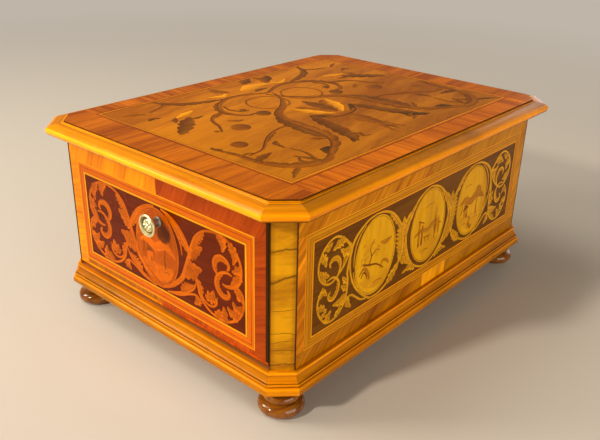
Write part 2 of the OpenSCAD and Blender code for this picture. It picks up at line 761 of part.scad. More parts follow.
module comb_base() {
    color("#c08f3e") difference() {
        along_x(comb_x0 - 2, 0, 0) linear_extrude(comb_x1 - comb_x0 + 4) polygon([
            [comb_back - 5, bed_top], [root_y + 6, bed_top], [root_y + 6, bed_top + 5], [root_y - 2, bed_top + 9],
            [root_y - 2, axis_z - comb_t], [comb_back, axis_z - comb_t], [comb_back, bed_top + 9],
            [comb_back - 5, bed_top + 5]]);
        comb_screw_places() translate([0, 0, axis_z - comb_t - 10]) cylinder(r = comb_screw_r, h = 10 + over);
    }
}
module comb_screws() {
    color("#3f4a5a") comb_screw_places() difference() {
        union() {
            translate([0, 0, axis_z]) cylinder(r = 3.4, h = 2.2);
            translate([0, 0, axis_z - comb_t - 8]) cylinder(r = comb_screw_r, h = comb_t + 8);
        }
        translate([0, 0, axis_z + 2.2]) cube([8, 0.9, 1.8], center = true);
    }
}

// ---- Spring barrel, winding arbor, ratchet and click ----
module spring_barrel() {
    color("#d2ab52") along_x(barrel_x, barrel_y, axis_z) difference() {
        union() {
            cylinder(r = barrel_r, h = barrel_w, $fn = 96);
            translate([0, 0, barrel_w]) gear(barrel_mod, barrel_teeth, 0.75, 0.14, wheel_t);
        }
        translate([0, 0, barrel_wall]) cylinder(r = barrel_r - barrel_wall, h = barrel_w - 2 * barrel_wall, $fn = 96);
        translate([0, 0, -over]) cylinder(r = arbor_r + run_fit, h = barrel_w + wheel_t + 2 * over);
    }
}
module mainspring() {
    r0 = hub_r + 0.6;
    r1 = barrel_r - barrel_wall - spring_thick + 0.1;
    steps = spring_turns * 20;
    inner = [for (i = [0 : steps]) polar(r0 + (r1 - r0) * i / steps, 18 * i)];
    outer = [for (i = [steps : -1 : 0]) polar(r0 + spring_thick + (r1 - r0) * i / steps, 18 * i)];
    color("#59626e") along_x(barrel_x + barrel_wall + 0.5, barrel_y, axis_z)
        linear_extrude(barrel_w - 2 * barrel_wall - 1) polygon(concat(inner, outer));
}
module winding_arbor() {
    color("#9aa0a8") {
        along_x(part_left, barrel_y, axis_z)
            cylinder(r = arbor_r, h = centre_bridge_x + bridge_t - part_left);
        along_x(barrel_x + barrel_wall + 0.5, barrel_y, axis_z)
            cylinder(r = hub_r, h = barrel_w - 2 * barrel_wall - 1);
        translate([(square_end + part_left) / 2, barrel_y, axis_z])
            cube([part_left - square_end, square_w, square_w], center = true);
    }
}
module ratchet_wheel() {
    pitch = 360 / ratchet_teeth;
    root = ratchet_r - 1.6;
    color("#9aa0a8") along_x(ratchet_x, barrel_y, axis_z) linear_extrude(ratchet_t) difference() {
        polygon([for (k = [0 : ratchet_teeth - 1], s = [0, 1]) polar(s == 0 ? root : ratchet_r, k * pitch)]);
        circle(r = arbor_r);
    }
}
// The click's nose lies in the ratchet gap before the tooth at 60 degrees
module click() {
    tooth = 60;
    root = ratchet_r - 1.6;
    t = ratchet_t - 0.4;
    color("#b08a3c") along_x(ratchet_x + 0.2, barrel_y, axis_z) difference() {
        union() {
            linear_extrude(t) polygon([polar(root + 0.55, tooth - 1.8), polar(root + 3.4, tooth - 1.8),
                polar(root + 6, tooth - 12), click_stud + [1, 3.6], click_stud + [-2, -2.6],
                polar(root + 2.6, tooth - 16), polar(root + 1.15, tooth - 5.5)]);
            translate(click_stud) cylinder(r = 4.2, h = t);
        }
        translate([click_stud[0], click_stud[1], -over]) cylinder(r = click_stud_r + run_fit, h = t + 2 * over);
    }
}
module click_spring() {
    color("#59626e") along_x(ratchet_x + ratchet_t + 0.15, barrel_y + click_stud[0], axis_z + click_stud[1]) {
        difference() {
            cylinder(r = click_stud_r + 0.8, h = 0.7);
            translate([0, 0, -over]) cylinder(r = click_stud_r, h = 0.7 + 2 * over);
        }
        translate([click_stud_r, -8, 0]) cube([0.8, 8, barrel_bridge_x - ratchet_x - ratchet_t - 0.15]);
    }
}

// ---- Cylinder ----
module cylinder_arbor() {
    pinion_w = 8;
    color("#9aa0a8") {
        along_x(wheel_x - 4, cyl_y, axis_z) cylinder(r = cyl_arbor_r, h = arbor_end - wheel_x + 4);
        along_x(wheel_x - 2, cyl_y, axis_z) rotate(180 / cyl_leaves)
            gear(barrel_mod, cyl_leaves, 0.8, 0.14, pinion_w);
    }
}
module great_wheel() {
    color("#d2ab52") along_x(great_x, cyl_y, axis_z) difference() {
        union() {
            gear(great_mod, great_teeth, 0.75, 0.14, great_t);
            cylinder(r = 9, h = stop_x - great_x + stop_w);
            translate([0, 0, stop_x - great_x]) cylinder(r = stop_r, h = stop_w, $fn = 96);
            translate([0, snail_at, snail_face - great_x - 3.6])
                cylinder(r = snail_stud_r, h = great_x - snail_face + 3.6 + over);
            translate([0, -drive_pin_at, cyl_end - cap_t - 4 - great_x])
                cylinder(r = drive_pin_r, h = great_x - cyl_end + cap_t + 4 + over);
        }
        for (a = [0, 45, 135, 180, 225, 315]) translate([0, 0, -over]) rotate(a) translate([22, 0, 0])
            cylinder(r = 5.5, h = stop_x - great_x + stop_w + 2 * over);
        translate([0, 0, -over]) cylinder(r = cyl_arbor_r, h = stop_x - great_x + stop_w + 2 * over);
        translate([-stop_r - over, -1.5, stop_x - great_x - over]) cube([over + 2, 3, stop_w + 2 * over]);
    }
}
module music_cylinder() {
    color("#caa04a") along_x(cyl_x, cyl_y, axis_z) {
        difference() {
            cylinder_body();
            translate([0, 0, -over]) cylinder(r = cyl_arbor_r + run_fit, h = cyl_len + 2 * over);
            translate([0, -drive_pin_at, cyl_len - cap_t - over])
                cylinder(r = drive_pin_r + run_fit, h = cap_t + 2 * over);
        }
        translate([0, snail_at - follower_at, cyl_len - over])
            cylinder(r = follower_r, h = snail_face - pass_gap - cyl_end + over);
    }
}
module cylinder_body() {
    difference() {
        cylinder(r = cyl_r, h = cyl_len, $fn = 96);
        translate([0, 0, cap_t]) cylinder(r = cyl_r - cyl_wall, h = cyl_len - 2 * cap_t, $fn = 96);
    }
}
// Three pins for each tooth, spread round the cylinder by a fixed angle
module cylinder_pins() {
    color("#d8d8dc") for (i = [0 : comb_teeth - 1], j = [0 : 2])
        translate([comb_x0 + comb_pitch * (i + 0.5), cyl_y, axis_z])
            rotate([i * 137.5 + j * 111, 0, 0]) translate([0, 0, cyl_r - 0.8]) cylinder(r = 0.3, h = pin_h + 0.8, $fn = 16);
}
// Stepped face cam: turning it brings the next step under the cylinder's follower
module tune_snail() {
    lead = 14;
    span = 360 / tunes;
    thick = snail_back - snail_face;
    first = 270 + lead;
    step_r = snail_r - 0.3;
    color("#9aa0a8") along_x(snail_face, cyl_y, axis_z) translate([0, snail_at, 0]) difference() {
        union() {
            cylinder(r = snail_r, h = thick);
            for (k = [0 : tunes - 1]) rotate(k * span + span / 4) translate([0, -0.9, thick - 1.4])
                cube([star_r, 1.8, 1.4]);
            for (k = [1 : tunes - 1]) translate([0, 0, -k * tune_step]) linear_extrude(tune_step)
                polygon(concat([[0, 0]],
                    arc(0, 0, step_r, step_r, first, first + (tunes - k) * span, (tunes - k) * 6)));
        }
        translate([0, 0, -tunes * tune_step - over])
            cylinder(r = snail_stud_r + run_fit, h = tunes * tune_step + thick + 2 * over);
    }
}

// ---- Governor ----
module governor_first_wheel() {
    color("#d2ab52") {
        along_x(gov_left, first_y, axis_z) cylinder(r = gov_arbor_r, h = gov_right - gov_left);
        along_x(great_x - 1.5, first_y, axis_z) rotate(180 + 180 / first_leaves)
            gear(great_mod, first_leaves, 0.8, 0.14, 6);
        along_x(great_x + 9, first_y, axis_z) gear(gov_mod, first_teeth, 0.75, 0.14, 2);
    }
}
module governor_second_wheel() {
    color("#d2ab52") {
        along_x(gov_left, second_y, axis_z) cylinder(r = gov_arbor_r, h = gov_right - gov_left);
        along_x(great_x + 7.5, second_y, axis_z) rotate(180 + 180 / second_leaves)
            gear(gov_mod, second_leaves, 0.8, 0.14, 5);
        along_x(worm_x - second_wheel_t / 2, second_y, axis_z)
            gear(gov_mod, second_teeth, 0.9, 0.3, second_wheel_t);
    }
}
module endless_fly() {
    thread = PI * gov_mod;
    color("#9aa0a8") translate([worm_x, worm_y, 0]) {
        translate([0, 0, bracket_low]) cylinder(r = 1.2, h = bracket_top - bracket_low);
        translate([0, 0, axis_z - worm_len / 2]) cylinder(r = worm_core_r, h = worm_len);
        for (k = [-2 : 2]) translate([0, 0, axis_z + k * thread - 0.8]) cylinder(r = worm_r, h = 1.6);
        translate([0, 0, fly_low]) cylinder(r = 2.6, h = fly_h);
        translate([0, 0, fly_low + fly_h / 2]) cube([2 * fly_r, 0.8, fly_h - 2], center = true);
    }
}

// ---- Control levers ----
// rod along X from its handle to a finger whose nose faces the cylinder's wheels
module control_lever(y, pivot, finger_x, finger_w, nose_y) {
    mid = y - lever_w / 2;
    difference() {
        union() {
            block(handle_x, finger_x + finger_w, mid, mid + lever_w, lever_low, lever_low + lever_t);
            translate([pivot, y, lever_low]) cylinder(r = lever_w - 1, h = lever_t);
            along_x(handle_x - 4, y, lever_low + lever_t / 2) cylinder(r = handle_r, h = 8);
            block(finger_x, finger_x + finger_w, mid, mid + lever_w, lever_low, axis_z + 3);
            block(finger_x, finger_x + finger_w, y, nose_y, axis_z - 3, axis_z + 3);
        }
        translate([pivot, y, lever_low - over]) cylinder(r = lever_pin_r + run_fit, h = lever_t + 2 * over);
    }
}
module stop_lever() {
    travel = 3;
    color("#9aa0a8") control_lever(stop_lever_y, stop_pivot_x, stop_x - 0.5, stop_w + 1,
        cyl_y - stop_r - pass_gap - travel);
}
module change_lever() {
    travel = 2.6;
    color("#9aa0a8") control_lever(change_lever_y, change_pivot_x, snail_face - 0.5, 3.4,
        cyl_y - snail_at - star_r - pass_gap - travel);
}

base_board();
feet();
floor_board();
front_wall();
back_wall();
end_wall();
door_sill();
door_posts();
end_posts();
base_moulding();
base_moulding_corners();
front_veneer();
back_veneer();
end_veneer();
partition();
winding_key();
key_clips();
hinge_case_leaves();
hinge_pins();
hinge_case_screws();
bedplate();
bed_screws();
comb();
comb_base();
comb_screws();
barrel_bridge();
centre_bridge();
end_bridge();
governor_frame();
endless_bracket();
click_spring();
lid_board();
lid_veneer();
lid_moulding_front();
lid_moulding_back();
lid_moulding_ends();
lid_moulding_corners();
hinge_lid_leaves();
hinge_lid_screws();
door_board();
door_veneer();
door_pivots();
door_knob();
knob_screw();
spring_barrel();
mainspring();
winding_arbor();
ratchet_wheel();
click();
cylinder_arbor();
great_wheel();
music_cylinder();
cylinder_pins();
tune_snail();
governor_first_wheel();
governor_second_wheel();
endless_fly();
stop_lever();
change_lever();
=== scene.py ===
# Marquetry musical box: the case, lid, winding door and movement dressed in veneer, polish and brass
import bmesh
import bpy
import math
import random
from mathutils import Matrix, Vector, geometry


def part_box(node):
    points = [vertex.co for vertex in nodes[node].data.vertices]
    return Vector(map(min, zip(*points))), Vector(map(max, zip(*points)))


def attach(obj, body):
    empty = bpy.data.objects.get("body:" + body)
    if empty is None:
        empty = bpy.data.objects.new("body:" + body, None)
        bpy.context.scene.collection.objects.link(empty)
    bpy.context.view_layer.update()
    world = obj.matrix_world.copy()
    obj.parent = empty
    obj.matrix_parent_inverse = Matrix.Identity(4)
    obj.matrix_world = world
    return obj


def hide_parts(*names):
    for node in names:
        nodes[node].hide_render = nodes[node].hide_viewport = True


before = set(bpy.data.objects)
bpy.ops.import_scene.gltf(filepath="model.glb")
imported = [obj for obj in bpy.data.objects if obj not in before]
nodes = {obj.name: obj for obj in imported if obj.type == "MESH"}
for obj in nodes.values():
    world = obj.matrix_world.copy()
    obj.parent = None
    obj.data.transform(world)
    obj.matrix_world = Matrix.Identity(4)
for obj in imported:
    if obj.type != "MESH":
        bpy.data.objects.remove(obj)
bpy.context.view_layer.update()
mm = 0.001
tau = 2 * math.pi
print("frame loaded")


def tint(red, green, blue):
    # a colour given on the 0 to 255 scale, as the linear value that a shader wants
    def linear(c):
        c /= 255
        return c / 12.92 if c <= 0.04045 else ((c + 0.055) / 1.055) ** 2.4
    return (linear(red), linear(green), linear(blue), 1)


def newObject(name, data):
    made = bpy.data.objects.new(name, data)
    bpy.context.scene.collection.objects.link(made)
    return made


class Wiring:
    # lays the nodes of one tree; a value is either a socket to join or a constant to set
    def __init__(self, tree):
        self.tree = tree

    def put(self, kind, sockets=None, **settings):
        node = self.tree.nodes.new(kind)
        for name, value in settings.items():
            setattr(node, name, value)
        for name, value in (sockets or {}).items():
            self.feed(node.inputs[name], value)
        return node

    def feed(self, socket, value):
        if isinstance(value, bpy.types.NodeSocket):
            self.tree.links.new(value, socket)
        else:
            socket.default_value = value

    def math(self, operation, a, b=0.0, clamp=False):
        return self.put("ShaderNodeMath", {0: a, 1: b}, operation=operation, use_clamp=clamp).outputs[0]

    def plus(self, a, b, clamp=False):
        return self.math("ADD", a, b, clamp)

    def minus(self, a, b):
        return self.math("SUBTRACT", a, b)

    def times(self, a, b):
        return self.math("MULTIPLY", a, b)

    def size(self, a):
        return self.math("ABSOLUTE", a)

    def vector(self, operation, a, b, output=0):
        return self.put("ShaderNodeVectorMath", {0: a, 1: b}, operation=operation).outputs[output]

    def mix(self, factor, a, b, blend="MIX"):
        node = self.put("ShaderNodeMix", data_type="RGBA", blend_type=blend, clamp_factor=True)
        for socket, value in ((node.inputs[0], factor), (node.inputs[6], a), (node.inputs[7], b)):
            self.feed(socket, value)
        return node.outputs[2]

    def noise(self, vector, scale, detail=3.0, rough=0.55, distortion=0.0, output="Fac"):
        return self.put("ShaderNodeTexNoise", {"Vector": vector, "Scale": scale, "Detail": detail,
                                               "Roughness": rough, "Distortion": distortion}).outputs[output]

    def ramp(self, value, low, high):
        return self.put("ShaderNodeMapRange", {"Value": value, "From Min": low, "From Max": high}).outputs[0]

    def place(self):
        return self.put("ShaderNodeTexCoord").outputs["Object"]

    def marked(self, name):
        return self.put("ShaderNodeAttribute", attribute_name=name).outputs["Fac"]


# Camera, floor and light
view = {
    "target": (-0.0062, 0.0082, 0.0654),
    "back": (-0.68505, -0.5931, 0.42304),
    "distance": 0.7646,
    "roll": 1.368,
    "lens": 44.12,
    "sensor": 36,
    "nearest": 0.02,
}
studio = {
    "floor": tint(196, 184, 166),
    "half": 40,
    "backdrop": (0.52, 0.465, 0.395, 1),
    "ambient": 0.33,
    "fade": (0.45, 1.75),
    "lamps": [
        # name, place, aim, size, watts, colour
        ("window lamp", (-2.3, 0.5, 1.5), (0, 0, 0.08), 0.22, 50, (1, 0.95, 0.89)),
        ("front softbox", (-0.2, -1.9, 0.5), (0, 0, 0.05), 1.6, 27, (1, 0.97, 0.94)),
        ("overhead softbox", (-0.5, 0.9, 1.8), (0, 0, 0.1), 1.2, 22, (1, 0.98, 0.96)),
        ("rear lamp", (-1.2, 1.3, 1.1), (0, 0, 0.1), 0.5, 16, (1, 0.96, 0.9)),
        ("side lamp", (1.9, 0.0, 0.5), (0, 0, 0.1), 1.1, 5, (0.97, 0.98, 1)),
    ],
}


def placeCamera(v):
    back = Vector(v["back"]).normalized()
    right = Vector((0, 0, 1)).cross(back).normalized()
    up = back.cross(right)
    a = math.radians(v["roll"])
    sideways = right * math.cos(a) + up * math.sin(a)
    upright = up * math.cos(a) - right * math.sin(a)
    camera = newObject("camera", bpy.data.cameras.new("camera"))
    camera.data.sensor_width = v["sensor"]
    camera.data.lens = v["lens"]
    camera.data.clip_start = v["nearest"]
    turn = Matrix((sideways, upright, back)).transposed().to_4x4()
    camera.matrix_world = Matrix.Translation(Vector(v["target"]) + back * v["distance"]) @ turn
    bpy.context.scene.camera = camera


def lightStudio(s):
    for name, place, aim, size, watts, colour in s["lamps"]:
        data = bpy.data.lights.new(name, "AREA")
        data.size = size
        data.energy = watts
        data.color = colour
        lamp = newObject(name, data)
        lamp.location = place
        lamp.rotation_mode = "QUATERNION"
        lamp.rotation_quaternion = (Vector(aim) - Vector(place)).to_track_quat("-Z", "Y")
    # what the camera sees of the backdrop keeps its colour, and what falls on the box is dimmer
    world = bpy.data.worlds.new("studio")
    bpy.context.scene.world = world
    world.use_nodes = True
    w = Wiring(world.node_tree)
    path = w.put("ShaderNodeLightPath").outputs
    seen = w.math("MAXIMUM", path["Is Camera Ray"], path["Is Transmission Ray"])
    strength = w.put("ShaderNodeMapRange", {"Value": seen, "To Min": s["ambient"], "To Max": 1})
    background = world.node_tree.nodes["Background"].inputs
    w.feed(background["Color"], s["backdrop"])
    w.feed(background["Strength"], strength.outputs[0])


placeCamera(view)
lightStudio(studio)
bpy.context.scene.view_settings.view_transform = "Standard"
print("camera and lamps placed")


# Shader groups shared by the finishes
def shaderGroup(name, inputs, outputs):
    group = bpy.data.node_groups.new(name, "ShaderNodeTree")
    for label, kind, default in inputs:
        socket = group.interface.new_socket(label, in_out="INPUT", socket_type="NodeSocket" + kind)
        if default is not None:
            socket.default_value = default
    for label, kind in outputs:
        group.interface.new_socket(label, in_out="OUTPUT", socket_type="NodeSocket" + kind)
    w = Wiring(group)
    return group, w, w.put("NodeGroupInput").outputs, w.put("NodeGroupOutput").inputs


def makeGrainGroup():
    # streaks along the first axis, fine fibre, and broad bands of lighter and darker wood
    group, w, given, out = shaderGroup("wood grain", [
        ("Vector", "Vector", None), ("Light", "Color", None), ("Dark", "Color", None),
        ("Streaks", "Float", 260.0), ("Stretch", "Float", 0.06), ("Wave", "Float", 0.004),
        ("Contrast", "Float", 1.0), ("Bands", "Float", 0.6)], [("Color", "Color"), ("Height", "Float")])
    vector, streaks = given["Vector"], given["Streaks"]
    sway = w.noise(w.vector("MULTIPLY", vector, (9, 34, 34)), 1.0, 2.0, output="Color")
    centred = w.vector("SUBTRACT", sway, (0.5, 0.5, 0.5))
    moved = w.put("ShaderNodeVectorMath", {0: centred, "Scale": given["Wave"]}, operation="SCALE").outputs[0]
    across = w.put("ShaderNodeCombineXYZ", {"X": given["Stretch"], "Y": 1.0, "Z": 1.0}).outputs[0]
    laid = w.vector("MULTIPLY", w.vector("ADD", vector, moved), across)
    streak = w.noise(laid, streaks, 5.0, 0.62)
    fibre = w.noise(laid, w.times(streaks, 5.5), 3.0, 0.7)
    band = w.noise(laid, w.times(streaks, 0.16), 2.0)
    total = w.plus(w.times(w.minus(streak, 0.5), 1.9), w.times(w.minus(fibre, 0.5), 0.9))
    total = w.plus(total, w.times(w.minus(band, 0.5), w.times(given["Bands"], 3.0)))
    factor = w.plus(w.times(total, given["Contrast"]), 0.5, True)
    w.feed(out["Color"], w.mix(factor, given["Light"], given["Dark"]))
    w.feed(out["Height"], w.plus(streak, w.times(fibre, 0.6)))
    return group


def makeSmudgeGroup():
    # old polish: cloudy gloss, and a little dirt that sits in patches
    group, w, given, out = shaderGroup("old polish", [
        ("Vector", "Vector", None), ("Color", "Color", None), ("Gloss", "Float", 0.2), ("Dirt", "Float", 0.15),
        ("Tone", "Float", 0.0)], [("Color", "Color"), ("Roughness", "Float")])
    vector = given["Vector"]
    cloud = w.noise(vector, 28.0, 4.0, 0.6)
    patch = w.noise(vector, 9.0, 5.0, 0.65, 0.4)
    fleck = w.noise(vector, 620.0, 2.0, 0.5)
    dirt = w.times(w.ramp(patch, 0.46, 0.72), given["Dirt"])
    speck = w.times(w.ramp(fleck, 0.68, 0.78), w.times(given["Dirt"], 1.2))
    shown = w.minus(w.plus(1.0, given["Tone"]), w.plus(dirt, speck))
    grey = w.put("ShaderNodeCombineColor", {0: shown, 1: shown, 2: shown}).outputs[0]
    w.feed(out["Color"], w.mix(1.0, given["Color"], grey, "MULTIPLY"))
    w.feed(out["Roughness"], w.plus(given["Gloss"], w.times(w.minus(cloud, 0.45), 0.22), True))
    return group


def makeBrushGroup():
    # drawn or turned metal: fine lines along the first axis with tarnish in clouds
    group, w, given, out = shaderGroup("worked metal", [
        ("Vector", "Vector", None), ("Bright", "Color", None), ("Tarnish", "Color", None),
        ("Gloss", "Float", 0.25), ("Age", "Float", 0.3), ("Grime", "Float", 0.0)],
        [("Color", "Color"), ("Roughness", "Float"), ("Height", "Float")])
    vector = given["Vector"]
    line = w.noise(w.vector("MULTIPLY", vector, (40, 1800, 1800)), 1.0, 3.0)
    cloud = w.noise(vector, 46.0, 5.0, 0.62)
    spot = w.noise(vector, 420.0, 2.0)
    aged = w.plus(w.times(w.ramp(cloud, 0.38, 0.7), given["Age"]),
                  w.times(w.ramp(spot, 0.6, 0.72), w.times(given["Age"], 0.6)), True)
    aged = w.plus(aged, given["Grime"], True)
    w.feed(out["Color"], w.mix(aged, given["Bright"], given["Tarnish"]))
    rough = w.plus(given["Gloss"], w.times(aged, 0.25))
    w.feed(out["Roughness"], w.plus(rough, w.times(w.minus(line, 0.5), 0.2), True))
    w.feed(out["Height"], line)
    return group


grainGroup = makeGrainGroup()
smudgeGroup = makeSmudgeGroup()
brushGroup = makeBrushGroup()
print("shader groups built")


# Finishes
def grainVector(w, lay):
    # where the grain runs: along a piece's own map, or along x, y or the canted corners of the case
    if lay == "map":
        flat = w.put("ShaderNodeUVMap", uv_map="grain").outputs[0]
        lift = w.put("ShaderNodeCombineXYZ", {"X": 0.0, "Y": 0.0, "Z": w.marked("seed")}).outputs[0]
        return w.vector("ADD", flat, lift)
    if lay == "x":
        return w.place()
    x, y, z = w.put("ShaderNodeSeparateXYZ", {0: w.place()}).outputs
    order = (y, x, z)
    if lay == "cant":
        ax, ay = w.size(x), w.size(y)
        order = (w.minus(ax, ay), w.plus(ax, ay), z)
    return w.put("ShaderNodeCombineXYZ", dict(zip("XYZ", order))).outputs[0]


def newMaterial(name):
    material = bpy.data.materials.new(name)
    material.use_nodes = True
    return material, Wiring(material.node_tree), material.node_tree.nodes["Principled BSDF"].inputs


polished = {"gloss": 0.24, "dirt": 0.12, "bump": 0.08, "coat": 0.03, "coatRough": 0.14, "specular": 0.09,
            "sheen": (1, 0.66, 0.25, 1), "grainDepth": 0.0004}


def woodFinish(name, look, lay="map"):
    material, w, skin = newMaterial(name)
    look = {**polished, **look}
    grain = w.put("ShaderNodeGroup", node_tree=grainGroup)
    w.feed(grain.inputs["Vector"], grainVector(w, lay))
    for key in ("light", "dark", "streaks", "stretch", "wave", "contrast", "bands"):
        if key in look:
            w.feed(grain.inputs[key.capitalize()], look[key])
    colour = grain.outputs["Color"]
    if "crack" in look:
        colour = crackedWood(w, colour, look["crack"], look["edges"])
    # a painted shadow of the knob on the door's pieces
    if "stain" in look:
        colour = shadowedByKnob(w, colour, look["stain"])
    polish = w.put("ShaderNodeGroup", {"Vector": w.place(), "Color": colour, "Gloss": look["gloss"],
                                       "Dirt": look["dirt"], "Tone": w.marked("tone")}, node_tree=smudgeGroup).outputs
    bump = w.put("ShaderNodeBump", {"Height": grain.outputs["Height"], "Strength": look["bump"],
                                    "Distance": look["grainDepth"]})
    for socket, value in (("Base Color", polish["Color"]), ("Roughness", polish["Roughness"]),
                          ("Normal", bump.outputs[0]), ("Coat Weight", look["coat"]),
                          ("Coat Roughness", look["coatRough"]), ("Specular IOR Level", look["specular"]),
                          ("Specular Tint", look["sheen"])):
        w.feed(skin[socket], value)
    return material


def crackedWood(w, colour, cracks, edges):
    # shakes that slope gently across the posts; the wood grows darker towards both edges, and the near-black line at
    # each edge is a dark joint and, beside the door, painted shade of its gap
    place = w.place()
    x, y, z = w.put("ShaderNodeSeparateXYZ", {0: place}).outputs
    along = w.minus(x, y)
    height = w.plus(z, w.times(w.minus(w.noise(place, 90.0, 3.0), 0.5), 0.006))
    for level, slope, width in cracks:
        line = w.minus(height, w.plus(w.times(along, slope), level))
        colour = w.mix(w.times(w.ramp(w.size(line), width, 0.0), 0.85), colour, tint(58, 28, 6))
    middle, start, joint = edges
    across = w.size(w.minus(w.minus(w.size(x), w.size(y)), middle))
    colour = w.mix(w.times(w.ramp(across, start, joint), 0.55), colour, tint(120, 58, 3))
    # near-black line: a dark joint, and beside the door painted shade of the door's gap
    return w.mix(w.times(w.ramp(across, joint - 0.0012, joint - 0.0004), 0.8), colour, tint(52, 20, 3))


def shadowedByKnob(w, colour, stain):
    # a painted shadow of the knob: the dark patch below and beside it on the door
    middle, reach = stain
    place = w.place()
    ragged = w.times(w.minus(w.noise(place, 160.0, 3.0), 0.5), 0.004)
    away = w.vector("DISTANCE", place, middle, "Value")
    near = w.ramp(w.plus(away, ragged), reach, reach * 0.8)
    return w.mix(w.times(near, 0.7), colour, tint(70, 26, 3))


def metalFinish(name, look):
    material, w, skin = newMaterial(name)
    sockets = {key.capitalize(): value for key, value in look.items()}
    worked = w.put("ShaderNodeGroup", {"Vector": w.place(), "Grime": w.marked("grime"), **sockets},
                   node_tree=brushGroup).outputs
    bump = w.put("ShaderNodeBump", {"Height": worked["Height"], "Strength": 0.05, "Distance": 0.0002})
    for socket, value in (("Base Color", worked["Color"]), ("Roughness", worked["Roughness"]),
                          ("Normal", bump.outputs[0]), ("Metallic", 1)):
        w.feed(skin[socket], value)
    return material


def shades(red, green, blue, spread, **rest):
    # the pale and dark streaks of one wood, from its middle colour
    r, g, b, _ = tint(red, green, blue)
    return {"light": (r * (1 + spread * 0.8), g * (1 + spread * 1.2), b * (1 + spread), 1),
            "dark": (r * (1 - spread), g * (1 - spread * 1.25), b * (1 - spread), 1), **rest}


# the dark patch by the knob is a painted shadow of it
knobShadow = ((-0.193, -0.0056, 0.1186), 0.0092)  # place and reach of the dark patch by the knob; metres
woods = {
    "moulding": shades(232, 136, 3, 0.28, streaks=190.0, stretch=0.03, contrast=0.95,
                       coat=0.1, coatRough=0.07, gloss=0.26, dirt=0.25, specular=0.14),
    "baseMoulding": shades(228, 132, 3, 0.3, streaks=210.0, stretch=0.03, contrast=1.0,
                           coat=0.1, coatRough=0.07, gloss=0.28, dirt=0.25, specular=0.12),
    "post": shades(206, 134, 3, 0.36, streaks=230.0, stretch=0.12, wave=0.02,
                   contrast=0.8, bands=1.3, coat=0.2, coatRough=0.2,
                   crack=[(0.1517, 0.07, 0.0009), (0.1373, 0.25, 0.0017), (0.0994, 0.03, 0.0004),
                          (0.0764, -0.02, 0.0004), (0.0724, 0.05, 0.0004), (0.0609, -0.02, 0.0005),
                          (0.0516, 0.04, 0.0007)], edges=(0.053, 0.0075, 0.0138)),
    "lidBand": shades(180, 88, 2, 0.4, streaks=300.0, stretch=0.045, contrast=1.1,
                      coat=0.12, coatRough=0.16),
    "lidField": shades(184, 102, 2, 0.3, streaks=110.0, stretch=0.12, wave=0.05,
                       contrast=0.85, bands=1.3, coat=0.1, coatRough=0.2),
    "doorBand": shades(172, 63, 3, 0.4, streaks=300.0, stretch=0.05, contrast=1.0),
    "paleBand": shades(240, 152, 8, 0.25, streaks=200.0, stretch=0.05, contrast=0.9),
    "goldBand": shades(232, 126, 1, 0.35, streaks=280.0, stretch=0.05, contrast=1.0),
    "brownBand": shades(202, 116, 2, 0.45, streaks=260.0, stretch=0.04, contrast=1.2),
    "frontBand": shades(184, 112, 3, 0.35, streaks=260.0, stretch=0.05, contrast=1.0),
    "stringLight": shades(240, 152, 14, 0.15, streaks=500.0, contrast=0.6),
    "stringDark": shades(110, 44, 4, 0.2, streaks=500.0, contrast=0.6),
    "doorBorder": shades(214, 97, 2, 0.25, streaks=400.0, contrast=0.7, stain=knobShadow),
    "frontBorder": shades(206, 128, 4, 0.25, streaks=400.0, contrast=0.7),
    "doorGround": shades(98, 28, 1, 0.3, streaks=300.0, stretch=0.06, contrast=0.9),
    "frontGround": shades(107, 59, 3, 0.32, streaks=300.0, stretch=0.06, contrast=0.9),
    "doorScroll": shades(202, 92, 1, 0.28, streaks=240.0, contrast=0.7, stain=knobShadow),
    "frontScroll": shades(222, 150, 12, 0.25, streaks=240.0, contrast=0.7),
    "doorOval": shades(190, 84, 2, 0.24, streaks=160.0, stretch=0.1, contrast=0.7, bands=1.0,
                       stain=knobShadow),
    "frontOval": shades(226, 157, 6, 0.2, streaks=160.0, stretch=0.1, contrast=0.7, bands=1.0),
    "lidDark": shades(122, 65, 5, 0.3, streaks=200.0, contrast=0.9),
    "lidDeep": shades(92, 52, 7, 0.3, streaks=200.0, contrast=0.9),
    "lidStem": shades(142, 74, 4, 0.3, streaks=200.0, contrast=0.9),
    "lidYellow": shades(224, 138, 8, 0.2, streaks=200.0, contrast=0.8),
    "plain": shades(160, 100, 44, 0.3, streaks=160.0, stretch=0.05, contrast=0.9,
                    coat=0.12, coatRough=0.35, gloss=0.5),
    "foot": shades(138, 76, 12, 0.5, streaks=150.0, stretch=0.2, contrast=0.8,
                   coat=0.9, coatRough=0.06, gloss=0.2),
    "engraving": shades(130, 62, 6, 0.2, streaks=400.0, contrast=0.5, stain=knobShadow),
}
metals = {
    "brass": dict(bright=(0.80, 0.58, 0.24, 1), tarnish=(0.42, 0.26, 0.09, 1), gloss=0.2, age=0.35),
    "knobBrass": dict(bright=(0.96, 0.91, 0.54, 1), tarnish=(0.20, 0.14, 0.04, 1), gloss=0.32, age=0.14),
    "greyMetal": dict(bright=(0.40, 0.44, 0.38, 1), tarnish=(0.13, 0.13, 0.10, 1), gloss=0.46, age=0.5),
    "castBrass": dict(bright=(0.74, 0.55, 0.25, 1), tarnish=(0.42, 0.29, 0.12, 1), gloss=0.34, age=0.4),
    "steel": dict(bright=(0.62, 0.62, 0.63, 1), tarnish=(0.34, 0.31, 0.28, 1), gloss=0.22, age=0.3),
    "bluedSteel": dict(bright=(0.09, 0.13, 0.24, 1), tarnish=(0.07, 0.06, 0.07, 1), gloss=0.2, age=0.4),
}


